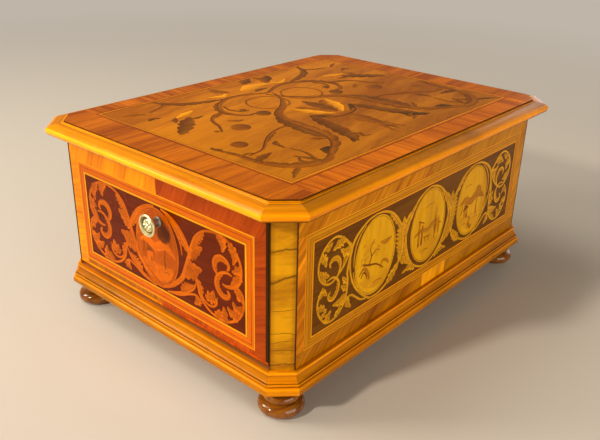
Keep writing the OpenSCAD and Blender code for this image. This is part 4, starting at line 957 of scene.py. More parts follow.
def layFront(look):
    box, rim = look["ground"], look["rim"]
    low, high, half = walls["low"], walls["high"], walls["half"]
    laid = Marquetry("front", "crossband_veneer", "front_veneer")
    wood = laid.wood
    u0, v0, u1, v1 = (box[0] - rim, box[1] - rim, box[2] + rim, box[3] + rim)
    band = wood("brownBand")
    for a in (-half, half - 1.0):
        wood("lidDeep", "joint").rectangle(a, low, a + 1.0, high, top=0.0, angle=90, tones=(-0.4, -0.4))
    band.rectangle(-half, v1, -2, high, angle=45, tones=(-0.12, -0.04))
    band.rectangle(-half, low, -2, v0, angle=45, tones=(-0.28, -0.22))
    band.rectangle(-half, v0, u0, v1, angle=45, tones=(0.38, 0.28))
    light = wood("frontBand")
    light.rectangle(-2, v1, half, high, angle=45, tones=(0.02, 0.1))
    light.rectangle(38, low, half, v0, angle=45)
    light.rectangle(u1, v0, half, v1, angle=45, tones=(0.1, 0.16))
    wood("paleBand").rectangle(-2, low, 38, v0, angle=75, tones=(0.12, 0.2))
    laid.border(box, look["border"])
    wood("frontGround").rectangle(*box, top=-0.18, angle=2)
    scroll, line = wood("frontScroll"), wood("engraving")
    for flip in (1, -1):
        layScroll(scroll, line, frontScroll, (box[0] + box[2]) / 2, flip)
    a, b = look["size"]
    sheets = {"bank": wood("frontScroll", "bank"), "shade": wood("frontBand", "view"), "line": line}
    for centre, name in zip(look["ovals"], ("garden", "terrace", "cottage")):
        ring(scroll, centre, look["middle"], (a + 0.4, b + 0.4), (a + 1.8, b + 1.6), tones=(0.1, -0.05))
        oval(wood("frontOval"), centre, look["middle"], a, b, top=-0.15, angle=90)
        layView(name, sheets, centre, look["middle"])
    laid.finishOff()


layFront(frontLook)
print("front marquetry laid")


# The lid: golden scrolls and dark acanthus, the same on each side of its centre line
lidLook = {
    "field": (-159.3, -115.0, 163.3, 119.0),
    "string": [("stringDark", 0.0, 0.6), ("lidYellow", 0.6, 1.6), ("lidBand", 1.6, 3.7), ("stringDark", 3.7, 4.4)],
    "rim": 4.4,
    "centre": 3.0,
    "edge": 0.55,
    "plan": (194.8, 141.8, 16.2),
    "worn": 1.1,
    "sink": -1.2,
}


def cantedPlan(hx, hy, cut, inset):
    # the eight corners of a canted outline, anticlockwise from the bottom left cant
    x, y, c = hx - inset, hy - inset, cut - inset * (2 - math.sqrt(2))
    return [(-x + c, -y), (x - c, -y), (x, -y + c), (x, y - c), (x - c, y), (-x + c, y), (-x, y - c), (-x, -y + c)]


lidStems = [
    ("lidStem", [(8, 62, 1), (-2, 40, 4), (-22, 20, 7), (-42, 7, 9), (-51, -12, 9), (-55, -40, 7), (-58, -62, 6),
                 (-68, -80, 5), (-86, -93, 5), (-103, -104, 7), (-122, -103, 8), (-139, -91, 7), (-147, -70, 6),
                 (-148, -46, 5), (-153, -24, 2)], [(1, 5, 6, 0.3, 0.6, 0.5), (-1, 5, 5, 0.68, 0.85, 0.5)]),
    ("lidDark", [(-46, 4, 2), (-54, -12, 7), (-58, -34, 8), (-62, -56, 7), (-61, -74, 1)],
     [(-1, 5, 6, 0.1, 0.9, 0.5)]),
    ("lidStem", [(2, 64, 3), (-18, 74, 4.5), (-40, 77, 5.5), (-62, 66, 5), (-74, 48, 4.5), (-73, 32, 4.5),
                 (-64, 23, 4), (-57, 24, 3)], [(-1, 4, 5, 0.4, 0.7, 0.5)]),
    ("lidDark", [(-44, 77, 2), (-62, 83, 4.5), (-84, 93, 5.5), (-97, 106, 4.5), (-103, 121, 2)],
     [(1, 3.5, 4, 0.2, 0.8, 0.4)]),
    ("lidStem", [(-104, 118, 1), (-100, 104, 3), (-112, 96, 3), (-126, 92, 1)], []),
    ("lidStem", [(-74, 46, 2), (-88, 44, 3.4), (-101, 33, 3.4), (-107, 18, 3), (-116, 4, 1.6)],
     [(1, 3, 3, 0.1, 0.4, 0.4)]),
    ("lidStem", [(-55, -24, 1.4), (-74, -24, 2.2), (-92, -30, 2.6), (-108, -40, 2.4), (-124, -52, 2.2),
                 (-142, -55, 1.4)], [(1, 2.6, 3, 0.3, 0.6, 0.4)]),
    ("lidStem", [(-14, -35, 3), (-2, -38, 4), (12, -37, 4), (24, -32, 4)], []),
    ("lidDeep", [(14, -36, 2), (21, -32, 6), (29, -23, 5), (32, -18, 1)], []),
    ("lidStem", [(-62, 60, 1.6), (-66, 48, 2.4), (-62, 37, 2.6), (-54, 34, 2)], []),
    ("lidStem", [(-30, -92, 1.6), (-38, -88, 3), (-34, -83, 3.4), (-46, -80, 2)], []),
    ("lidStem", [(-106, -66, 1), (-104, -80, 2.6), (-110, -98, 3.4)], []),
]
lidLeaves = [
    ("lidDark", [(-25, -18, 2), (-31, -36, 13), (-36, -56, 15), (-43, -76, 16), (-50, -94, 2)], 7, 0.4, 0.4),
    ("lidDeep", [(-36, -70, 2), (-44, -82, 13), (-56, -93, 2)], 4, 0.3, 0.4),
    ("lidDark", [(-108, 56, 2), (-120, 46, 14), (-130, 36, 16), (-143, 26, 10), (-147, 24, 2)], 6, 0.45, 0.5),
    ("lidDark", [(-112, 50, 1), (-104, 50, 5), (-96, 51, 1)], 3, 0.4, 0.4),
    ("lidDark", [(-128, 52, 1), (-124, 58, 7), (-119, 63, 1)], 3, 0.4, 0.4),
    ("lidDark", [(-101, -45, 1), (-106, -50, 6), (-108, -62, 2)], 3, 0.4, 0.4),
    ("lidDark", [(-110, -105, 3), (-112, -94, 6), (-116, -84, 3), (-118, -80, 1)], 3, 0.3, 0.3),
    ("lidDeep", [(-94, -95, 2), (-86, -88, 12), (-80, -84, 2)], 3, 0.3, 0.3),
    ("lidDark", [(-150, -68, 2), (-136, -64, 9), (-124, -62, 1)], 5, 0.45, 0.5),
    ("lidDark", [(-118, -102, 2), (-122, -92, 5), (-116, -84, 1)], 3, 0.4, 0.4),
    ("lidDark", [(-132, -100, 2), (-142, -104, 6), (-153, -112, 1)], 4, 0.4, 0.5),
    ("lidDark", [(-148, -30, 2), (-152, -24, 5), (-150, -19, 1)], 2, 0.3, 0.4),
    ("lidStem", [(-24, 92, 2), (-32, 104, 13), (-30, 119, 2)], 5, 0.35, 0.4),
    ("lidStem", [(-6, -100, 2), (5, -60, 14), (3, -42, 3)], 5, 0.3, -0.4),
    ("lidDark", [(-142, 72, 1), (-136, 75, 6), (-128, 72, 1)], 3, 0.4, 0.4),
    ("lidStem", [(-150, 100, 1), (-140, 96, 5), (-131, 90, 1)], 3, 0.4, 0.4),
    ("lidYellow", [(-118, 62, 2), (-104, 66, 9), (-92, 70, 2)], 3, 0.3, 0.4),
    ("lidYellow", [(-52, 92, 2), (-38, 86, 8), (-30, 92, 2)], 3, 0.3, 0.4),
    ("lidYellow", [(-22, 8, 2), (-14, -14, 12), (-2, -30, 2)], 4, 0.3, 0.4),
    ("lidStem", [(-18, 8, 1), (-12, 4, 8), (-4, -10, 3)], 3, 0.4, -0.3),
    ("lidStem", [(-76, -60, 1), (-70, -66, 6), (-64, -72, 2)], 3, 0.4, 0.3),
    ("lidStem", [(-150, -52, 1), (-140, -50, 4), (-134, -54, 1)], 3, 0.4, 0.3),
    ("lidStem", [(-92, 24, 1), (-84, 18, 6), (-78, 16, 1)], 3, 0.4, 0.3),
]
lidBerries = [("lidDark", -51, 18, 7.5), ("lidStem", -96, 2, 9), ("lidStem", -129, -30, 7.5),
              ("lidDark", -58, 38, 3.5), ("lidStem", -119, 8, 2.6)]


def layLid(look):
    box, rim = look["field"], look["rim"]
    laid = Marquetry("lid", "lid_veneer_wood", "lid_veneer")
    wood = laid.wood
    hx, hy, cut = look["plan"]
    line = look["edge"]
    u0, v0, u1, v1 = box[0] - rim, box[1] - rim, box[2] + rim, box[3] + rim
    ends, sides = wood("lidBand", "end band"), wood("lidBand", "long band")
    deep = dict(bottom=look["sink"])
    for flip, edge in ((-1, u0), (1, u1)):
        plan = cantedPlan(hx, hy, cut, line)
        outer = [(flip * abs(plan[k][0]), plan[k][1]) for k in (1, 2, 3, 4)]
        inner = [(edge, v) for _, v in outer]
        left, right = (inner, outer) if flip > 0 else (outer, inner)
        ends.strip(left, right, angle=1, tones=(0.0, 0.02), **deep)
    sides.rectangle(u0, -hy + line, u1, v0, angle=90, tones=(0.14, 0.2), **deep)
    sides.rectangle(u0, v1, u1, hy - line, angle=90, tones=(0.05, 0.05), **deep)
    for name, a, b in look["string"]:
        mitredFrame(wood(name), box, a, b)
    edge = wood("lidDeep", "edge line")
    edge.strip(cantedPlan(hx, hy, cut, line), cantedPlan(hx, hy, cut, 0.0), closed=True, top=-0.16, **deep)
    plan = cantedPlan(hx, hy, cut, line + look["worn"])
    for k in (1, 3, 5, 7):
        (au, av), (bu, bv) = plan[k], plan[(k + 1) % 8]
        ribbon(wood("lidDark", "worn corner"), [(au, av, 1.2), ((au + bu) / 2, (av + bv) / 2, 2.2), (bu, bv, 1.0)], 3)
    wood("lidField").rectangle(*box, top=-0.16, angle=8, tones=(0.1, -0.22), **deep)
    for flip in (1, -1):
        for name, points, frills in lidStems:
            path = [(s - look["centre"], v, w) for s, v, w in points]
            stroke(wood(name), path, flip, look["centre"], frills, tones=(0.2, -0.3))
            if name == "lidStem":
                shaded = withNormals(smoothPath([(look["centre"] + flip * s, v, w) for s, v, w in path], 6))
                engrave(wood("lidDeep", "shading"), [(p[0] - flip * out[0] * p[2] * 0.42,
                                                      p[1] - flip * out[1] * p[2] * 0.42)
                                                     for p, _, out in shaded[::3]], 0.9)
        for name, points, count, depth, lean in lidLeaves:
            leaf(wood(name), [(look["centre"] + flip * (s - look["centre"]), v, w) for s, v, w in points],
                 count, depth, lean, tones=(0.25, -0.3))
        for name, s, v, r in lidBerries:
            oval(wood(name), look["centre"] + flip * (s - look["centre"]), v, r, r, 20, tones=(0.2, -0.3))
        ring(wood("lidStem"), look["centre"] - flip * 25, 40, (20.4, 20.4), (22.4, 22.4))
    for name, points, count, depth, lean in (
            ("lidDark", [(5, -26, 3), (5, -12, 15), (5, 4, 13), (5, 20, 1)], 5, 0.25, -0.2),
            ("lidDark", [(5, -44, 4), (4, -62, 15), (4, -80, 10), (4, -97, 1)], 5, 0.3, 0.3),
            ("lidDark", [(-2, 76, 2), (6, 79, 8), (17, 78, 2)], 3, 0.3, 0.3),
            ("lidYellow", [(-10, 88, 3), (8, 92, 18), (32, 90, 3)], 3, 0.2, 0.3),
            ("lidDark", [(10, 106, 3), (20, 114, 15), (30, 118, 3)], 4, 0.3, 0.3),
            ("lidDark", [(38, 98, 3), (46, 107, 13), (54, 114, 3)], 4, 0.3, 0.3)):
        leaf(wood(name), points, count, depth, lean, tones=(0.25, -0.3))
    laid.finishOff()


layLid(lidLook)
print("lid marquetry laid")


# The plain back: crossbanding, a string and one figured sheet
hinge = {"at": 115.0, "half": 24.0, "gap": 24.5, "depth": 1.3}
backLook = {"field": (-150.0, 62.0, 150.0, 146.0), "border": [("stringDark", 0, 0.4), ("stringLight", 0.4, 1.6),
                                                              ("stringDark", 1.6, 2)], "rim": 2, "sheets": 4}


def layBack(look):
    box, rim, count = look["field"], look["rim"], look["sheets"]
    low, high, half = walls["low"], walls["high"], walls["half"]
    laid = Marquetry("back", "crossband_veneer", "back_veneer")
    u0, v0, u1, v1 = box[0] - rim, box[1] - rim, box[2] + rim, box[3] + rim
    band, notch = laid.wood("doorBand", "band"), high - hinge["depth"]
    band.rectangle(-half, low, half, v0, angle=90)
    band.rectangle(-half, v0, u0, v1, angle=0)
    band.rectangle(u1, v0, half, v1, angle=0)
    band.rectangle(-half, v1, half, notch, angle=90)
    near, far = hinge["at"] - hinge["half"], hinge["at"] + hinge["half"]
    for a, b in ((-half, -far), (-near, near), (far, half)):
        band.rectangle(a, notch, b, high, angle=90)
    for name, a, b in look["border"]:
        mitredFrame(laid.wood(name), box, a, b)
    sheet = laid.wood("frontBand", "sheet")
    for k in range(count):
        a = box[0] + (box[2] - box[0]) * k / count
        sheet.rectangle(a, box[1], a + (box[2] - box[0]) / count, box[3], angle=90 + (6 if k % 2 else -6))
    laid.finishOff()


layBack(backLook)
print("back veneered")


# Mouldings, the base board, the feet and the knob
case = {"halfLength": 193.0, "halfDepth": 140.0, "cut": 13.8, "boardBottom": 25.0, "boardTop": 31.7,
        "boardInset": 8.9, "lidBottom": 175.5, "mitreGap": 0.04}
mitre = math.tan(math.radians(22.5))


def arc(cx, cy, rx, ry, a0, a1, n):
    angles = [math.radians(a0 + (a1 - a0) * i / n) for i in range(n + 1)]
    return [(cx + rx * math.cos(a), cy + ry * math.sin(a)) for a in angles]


lidProfile = ([(0, 0), (11.6, 0)] + arc(12.3, 5.1, 4.2, 4.9, 282, 360, 10) + arc(3.8, 5.5, 12.7, 4.7, 4, 88, 16)
              + [(3.8, 10.6), (2.5, 10.6), (2.3, 10.8), (2.3, 11.1), (0, 11.1)])
baseProfile = ([(0, 0), (5.3, 0), (5.3, 0.9), (6.1, 0.9)] + arc(6.1, 2, 0.8, 1.1, -84, 84, 6)
               + [(6.1, 3.1), (5.7, 3.1), (5.7, 3.6)] + arc(6.4, 9.5, 3.6, 5.6, 258, 182, 9)
               + [(2.8, 9.6), (3.4, 9.7), (3.5, 9.9), (3.5, 11.2), (3.2, 11.7), (2.6, 11.9), (0, 11.9)])
boardProfile = [(-9, 0), (7.4, 0), (8.1, 0.3), (8.5, 1), (8.5, 4.6), (8.2, 5.6), (7.6, 6.3), (6.8, 6.7), (-9, 6.7)]
# painted light and shade at each height of a profile: lighter bands where it faces the lamps, darker underneath and in
# its quirks
lidLightShade = [(0, -0.75), (1.2, -0.6), (2.4, -0.15), (3.4, 0.5), (6.4, 0.6), (7.6, 0.2), (8.8, -0.12), (10.3, -0.25),
            (10.7, 0.2), (11.1, 0.1)]
baseLightShade = [(0, -0.8), (0.8, -0.75), (1.0, 0.0), (2.6, 0.2), (3.1, -0.3), (3.6, -0.3), (4.2, -0.1), (6.2, 0.0),
             (9.0, -0.1), (9.5, -0.5), (9.9, 0.35), (11.3, 0.45), (11.9, 0.0)]
boardLightShade = [(0, -0.5), (0.8, -0.3), (1.2, -0.14), (4.6, -0.12), (5.7, 0.25), (6.7, 0.2)]


def sides():
    # the eight faces of the case: middle, way along, way out, half length, name
    hx, hy, c = case["halfLength"], case["halfDepth"], case["cut"]
    q = math.sqrt(0.5)
    return {
        "front": ((0, -hy), (1, 0), (0, -1), hx - c), "right": ((hx, 0), (0, 1), (1, 0), hy - c),
        "back": ((0, hy), (-1, 0), (0, 1), hx - c), "left": ((-hx, 0), (0, -1), (-1, 0), hy - c),
        "frontRight": ((hx - c / 2, -hy + c / 2), (q, q), (q, -q), c * q),
        "backRight": ((hx - c / 2, hy - c / 2), (-q, q), (q, q), c * q),
        "backLeft": ((-hx + c / 2, hy - c / 2), (-q, -q), (-q, q), c * q),
        "frontLeft": ((-hx + c / 2, -hy + c / 2), (q, -q), (-q, -q), c * q),
    }


def crisp(profile):
    # extra points beside every arris, so that painted shade, highlights and dirt stay in narrow lines
    finer = []
    for k, (x, z) in enumerate(profile):
        nx, nz = profile[(k + 1) % len(profile)]
        finer.append((x, z))
        size = math.hypot(nx - x, nz - z)
        for d in ((0.3, size - 0.3) if size > 0.9 else ()):
            finer.append((x + (nx - x) * d / size, z + (nz - z) * d / size))
    return finer


def toneAt(table, z):
    for (z0, t0), (z1, t1) in zip(table, table[1:]):
        if z <= z1:
            return t0 + (t1 - t0) * (z - z0) / (z1 - z0)
    return table[-1][1]


def hollows(profile, table):
    # the painted light and shade at each height, with dirt and painted shade in the quirks and a painted highlight on
    # the proud edges
    worn, n = [], len(profile)
    for k, (x, z) in enumerate(profile):
        (ax, az), (bx, bz) = profile[k - 1], profile[(k + 1) % n]
        a, b = (x - ax, z - az), (bx - x, bz - z)
        turn = math.degrees(math.atan2(a[0] * b[1] - a[1] * b[0], a[0] * b[0] + a[1] * b[1]))
        change = -0.4 if turn < -25 else 0.15 if turn > 25 else 0.0
        worn.append(max(toneAt(table, z) + change, -0.92))
    return worn


class Solid(Gathered):
    # closed shells with a grain map, gathered into one object
    def __init__(self, name, finish, slot, body, replaces=()):
        super().__init__(name, finishes[finish], slot, body, replaces, len(name) * 17)

    def add(self, points, faces, maps, tone=0.0):
        first, seed = len(self.points), self.random.uniform(0, 3)
        self.points += points
        self.maps += maps
        self.faces += [tuple(first + i for i in face) for face in faces]
        self.tones += [tone] * len(points) if isinstance(tone, float) else tone
        self.seeds += [seed] * len(points)

    def length(self, side, profile, table, base, start=None, end=None, tone=0.0):
        # a run of moulding on one side; start and end cut it square, otherwise its ends are mitred
        (cx, cy), (dx, dy), (nx, ny), half = side
        profile = crisp(profile)
        n, points, maps, run, tones = len(profile), [], [], 0.0, []
        # worn holds the painted light and shade of each point of the profile
        worn = hollows(profile, table)
        for k, (out, z) in enumerate(profile):
            run += math.hypot(out - profile[k - 1][0], z - profile[k - 1][1]) if k else 0
            reach = half + out * mitre - case["mitreGap"]
            for at in (start if start is not None else -reach, end if end is not None else reach):
                points.append(((cx + nx * out + dx * at) * mm, (cy + ny * out + dy * at) * mm, (base + z) * mm))
                maps.append((at * mm, run * mm))
                tones.append(tone + worn[k])
        faces = [(2 * k, 2 * k + 1, 2 * ((k + 1) % n) + 1, 2 * ((k + 1) % n)) for k in range(n)]
        faces += [tuple(2 * k for k in reversed(range(n))), tuple(2 * k + 1 for k in range(n))]
        self.add(points, [tuple(reversed(f)) for f in faces], maps, tones)

    def turned(self, profile, x, y, count=64):
        # a turning about an upright line
        points, maps, faces = [], [], []
        n = len(profile)
        for i in range(count):
            a = tau * i / count
            for k, (r, z) in enumerate(profile):
                points.append(((x + r * math.cos(a)) * mm, (y + r * math.sin(a)) * mm, z * mm))
                maps.append((z * mm, r * a * mm))
        for i in range(count):
            j = (i + 1) % count
            for k in range(n - 1):
                faces.append((i * n + k, j * n + k, j * n + k + 1, i * n + k + 1))
        self.add(points, faces, maps)

    def finishOff(self, sharp=32):
        super().finishOff(2e-7, sharp)


def moulding(name, finish, body):
    # a run of moulding that stands for the solid of the same name
    return Solid(name, finish, "moulding_wood", body, (name.replace("-", "_"),))


def makeMouldings():
    place = sides()
    lidFront = moulding("lid-moulding-front", "moulding", "lid")
    # the side tones paint light and shade: on the lid the front run is darker, the left end lighter and the right end
    # darker
    lidFront.length(place["front"], lidProfile, lidLightShade, case["lidBottom"], tone=-0.3)
    lidEnds = moulding("lid-moulding-ends", "moulding", "lid")
    for side, tone in (("left", 0.12), ("right", -0.1)):
        lidEnds.length(place[side], lidProfile, lidLightShade, case["lidBottom"], tone=tone)
    lidCorners = moulding("lid-moulding-corners", "moulding", "lid")
    baseRuns = moulding("base-moulding", "baseMoulding", "case")
    baseCorners = moulding("base-moulding-corners", "baseMoulding", "case")
    board = moulding("base-board", "baseMoulding", "case")
    for name, side in place.items():
        corner = name not in ("front", "right", "back", "left")
        # painted shade on the base's front and left runs, and a little on the lid's corners
        tone = {"front": -0.3, "left": -0.26}.get(name, 0.0)
        (baseCorners if corner else baseRuns).length(side, baseProfile, baseLightShade, case["boardTop"], tone=tone)
        if corner:
            lidCorners.length(side, lidProfile, lidLightShade, case["lidBottom"], tone=-0.06)
        board.length(side, boardProfile, boardLightShade, case["boardBottom"], tone=tone)
    # the middle of the board, within the eight lengths of its edge
    plan = cantedPlan(case["halfLength"], case["halfDepth"], case["cut"], case["boardInset"])
    plan = plan[-1:] + plan[:-1]
    points = [(x * mm, y * mm, z * mm) for z in (case["boardBottom"] + 0.2, case["boardTop"] - 0.1)
              for x, y in plan]
    faces = [tuple(reversed(range(8))), tuple(range(8, 16))] + [(k, (k + 1) % 8, (k + 1) % 8 + 8, k + 8)
                                                               for k in range(8)]
    board.add(points, faces, [(p[0], p[1]) for p in points])
    lidBack = moulding("lid-moulding-back", "moulding", "lid")
    notched = [(0, 3), (6.1, 3), (6.1, 0)] + lidProfile[1:]
    near, far = hinge["at"] - hinge["gap"], hinge["at"] + hinge["gap"]
    for start, end, profile in ((None, -far, lidProfile), (-far, -near, notched), (-near, near, lidProfile),
                                (near, far, notched), (far, None, lidProfile)):
        lidBack.length(place["back"], profile, lidLightShade, case["lidBottom"], start, end)
    for piece in (lidFront, lidEnds, lidCorners, lidBack, baseRuns, baseCorners, board):
        piece.finishOff()


footLook = {"radius": 19.25, "x": 178.0, "y": 125.0, "height": 25.0}


def turnFeet(look):
    r, h = look["radius"], look["height"]
    bun, neck = h * 0.215, r - 8.6
    profile = ([(0, 0), (r - bun - 0.4, 0)] + arc(r - bun, bun, bun, bun, -86, 84, 24)
               + arc(r - 7.4, h * 0.6, 3.6, h * 0.145, -84, 84, 18)
               + [(neck, h * 0.76), (neck - 0.4, h * 0.84), (neck, h * 0.93), (neck + 1.6, h), (0, h)])
    feet = Solid("feet-turned", "foot", "foot_wood", "case", ("feet",))
    for x in (-1, 1):
        for y in (-1, 1):
            feet.turned(profile, x * look["x"], y * look["y"])
    feet.finishOff(40)


makeMouldings()
turnFeet(footLook)
print("mouldings and feet made")


finishes.update({name: metalFinish(name, look) for name, look in metals.items()})


# Small turned and repeated pieces; a rule tree takes its sizes from named inputs
def ruleTree(name, sizes):
    tree = bpy.data.node_groups.new(name, "GeometryNodeTree")
    tree.interface.new_socket("Geometry", in_out="INPUT", socket_type="NodeSocketGeometry")
    for label, kind, value in sizes:
        socket = tree.interface.new_socket(label, in_out="INPUT", socket_type="NodeSocket" + kind)
        socket.default_value = value
    tree.interface.new_socket("Geometry", in_out="OUTPUT", socket_type="NodeSocketGeometry")
    w = Wiring(tree)
    return tree, w, w.put("NodeGroupInput").outputs, w.put("NodeGroupOutput").inputs[0]


def endTree(w, shape, finish, out):
    solid = w.put("GeometryNodeRealizeInstances", {"Geometry": shape}).outputs[0]
    w.feed(out, w.put("GeometryNodeSetMaterial", {"Geometry": solid, "Material": finish}).outputs[0])


def grown(name, tree, sizes, body, slot, replaces=(), spots=()):
    # runs a rule tree once and keeps its result as a plain mesh
    seedMesh = bpy.data.meshes.new(name + "-spots")
    seedMesh.from_pydata([tuple(p) for p in spots], [], [])
    helper = newObject(name + "-rule", seedMesh)
    rule = helper.modifiers.new("rule", "NODES")
    rule.node_group = tree
    for item in tree.interface.items_tree:
        if item.in_out == "INPUT" and item.name in sizes:
            rule[item.identifier] = sizes[item.name]
    ready = helper.evaluated_get(bpy.context.evaluated_depsgraph_get())
    mesh = bpy.data.meshes.new_from_object(ready)
    mesh.name = name
    helper.modifiers.remove(rule)
    bpy.data.objects.remove(helper)
    return placed(name, mesh, slot, body, replaces)


def latheMesh(profile, centre, axis, count, grime=()):
    # turns (along, radius) points about an axis through the centre; metres
    axis = Vector(axis)
    side = axis.orthogonal().normalized()
    other = axis.cross(side)
    points, faces, marks = [], [], []
    for i in range(count):
        a = tau * i / count
        ray = side * math.cos(a) + other * math.sin(a)
        for k, (along, r) in enumerate(profile):
            points.append(Vector(centre) + axis * along * mm + ray * r * mm)
            marks.append(grime[k] if grime else 0.0)
    n = len(profile)
    for i in range(count):
        j = (i + 1) % count
        faces += [(i * n + k, i * n + k + 1, j * n + k + 1, j * n + k) for k in range(n - 1)]
    return points, faces, marks


def metalPiece(name, parts, finish, slot, body, replaces=()):
    # joins closed shells, each (points, faces, grime), into one piece
    points, faces, marks = [], [], []
    for p, f, g in parts:
        faces += [tuple(len(points) + i for i in face) for face in f]
        points += p
        marks += g
    mesh = bpy.data.meshes.new(name)
    mesh.from_pydata([tuple(p) for p in points], [], faces)
    mesh.attributes.new("grime", "FLOAT", "POINT").data.foreach_set("value", marks)
    placed(name, cleaned(mesh, 1e-6, 38), slot, body, replaces, finishes[finish])


knobLook = {"place": (-193.0, 0.0, 129.6), "petals": 8, "petalRing": 3.5, "petalSize": 1.25, "rosette": 12.05}


def turnKnob(look):
    # a dished rosette knob: thick rim, sunk ring, raised rosette with petals round a boss
    place = Vector(look["place"]) * mm
    rim = [(12.15 + 0.95 * math.sin(a), 8.85 + 1.15 * math.cos(a)) for a in
           [math.radians(-70 + 190 * i / 14) for i in range(15)]]
    shank = [(0, 0), (0, 4.2), (0.4, 4.5), (1.3, 4.5), (1.7, 4.1), (3.2, 3.9), (6.4, 3.9), (7.6, 4.2), (8.3, 4.2),
             (8.3, 0)]
    profile = ([(7.9, 0), (7.9, 3.6), (8.1, 4.6), (8.6, 5.2), (9.3, 6.6), (10.1, 8.4), (10.7, 9.2)] + rim
               + [(11.5, 7.9), (11.05, 7.2), (10.9, 6.6), (11.0, 6.0), (11.35, 5.6), (11.75, 5.3), (11.95, 4.8),
                  (12.0, 3.6), (12.0, 2.5), (12.1, 2.0), (12.5, 1.8), (12.9, 1.2), (13.05, 0.5), (13.1, 0)])
    grime = [0.0] * 6 + [0.1] * 3 + [0.0] * 13 + [0.5, 0.85, 0.95, 0.9, 0.6, 0.2, 0.25, 0.5, 0.6, 0.35, 0, 0, 0, 0]
    metalPiece("knob-turned", [latheMesh(profile, place, (-1, 0, 0), 72, grime)], "knobBrass", "knob_brass",
               "door", ("door_knob",))
    metalPiece("knob-shank", [latheMesh(shank, place, (-1, 0, 0), 48)], "greyMetal", "knob_brass", "door")
    tree, w, given, out = ruleTree("knob petals", [("Count", "Int", 8), ("Ring", "Float", 0.003),
                                                   ("Size", "Float", 0.001), ("Place", "Vector", (0, 0, 0))])
    ringOf = w.put("GeometryNodeMeshCircle", {"Vertices": given["Count"], "Radius": given["Ring"]}).outputs[0]
    petal = w.put("GeometryNodeMeshIcoSphere", {"Radius": given["Size"], "Subdivisions": 3}).outputs[0]
    turn = w.put("FunctionNodeAlignRotationToVector", {"Vector": w.put("GeometryNodeInputPosition").outputs[0]},
                 axis="X").outputs[0]
    laid = w.put("GeometryNodeInstanceOnPoints", {"Points": ringOf, "Instance": petal, "Rotation": turn,
                                                  "Scale": (1.35, 0.78, 0.6)}).outputs[0]
    moved = w.put("GeometryNodeTransform", {"Geometry": laid, "Translation": given["Place"],
                                            "Rotation": (0, -math.pi / 2, 0)}).outputs[0]
    endTree(w, moved, finishes["knobBrass"], out)
    petals = grown("knob-petals", tree, {"Count": look["petals"], "Ring": look["petalRing"] * mm,
                                         "Size": look["petalSize"] * mm,
                                         "Place": tuple(place - Vector((look["rosette"] * mm, 0, 0)))},
                   "door", "knob_brass")
    for face in petals.data.polygons:
        face.use_smooth = True


pinLook = {"axis": (-10.0, 95.7), "radius": 27.0, "length": 1.0, "thickness": 0.17, "first": -82.0, "last": 97.0,
           "sunk": 0.1, "bare": 0.12, "teeth": 44, "tunes": 4, "step": 0.8, "perTune": 15}


def setPins(look):
    spread = random.Random(21)
    cy, cz = look["axis"]
    reach = look["radius"] + look["length"] * 0.5 - look["sunk"]
    spots = []
    for tooth in range(look["teeth"]):
        x = look["first"] + (look["last"] - look["first"]) * tooth / (look["teeth"] - 1)
        for tune in range(look["tunes"]):
            along = x + (tune - (look["tunes"] - 1) / 2) * look["step"]
            for _ in range(look["perTune"]):
                a = spread.uniform(look["bare"], tau - look["bare"])
                spots.append((along, cy + reach * math.cos(a), cz + reach * math.sin(a)))
    tree, w, given, out = ruleTree("cylinder pins", [("Length", "Float", 0.001), ("Thickness", "Float", 0.0002),
                                                     ("Axis", "Vector", (0, 0, 0))])
    pin = w.put("GeometryNodeMeshCylinder", {"Vertices": 6, "Radius": given["Thickness"],
                                             "Depth": given["Length"]}).outputs[0]
    away = w.vector("SUBTRACT", w.put("GeometryNodeInputPosition").outputs[0], given["Axis"])
    away = w.vector("MULTIPLY", away, (0, 1, 1))
    turn = w.put("FunctionNodeAlignRotationToVector", {"Vector": away}, axis="Z").outputs[0]
    laid = w.put("GeometryNodeInstanceOnPoints", {"Points": given["Geometry"], "Instance": pin,
                                                  "Rotation": turn}).outputs[0]
    endTree(w, laid, finishes["steel"], out)
    grown("cylinder-pins-set", tree, {"Length": look["length"] * mm, "Thickness": look["thickness"] * mm,
                                      "Axis": (0, cy * mm, cz * mm)}, "cylinder", "steel", ("cylinder_pins",),
          [Vector(p) * mm for p in spots])


flyLook = {"x": 131.5, "y": 73.75, "low": 79.7, "high": 131.7, "wormLow": 86.7, "wormHigh": 104.7, "core": 2.2,
           "thread": 3.3, "turns": 9, "bladeLow": 109.7, "bladeHigh": 127.7, "blade": 14.0}


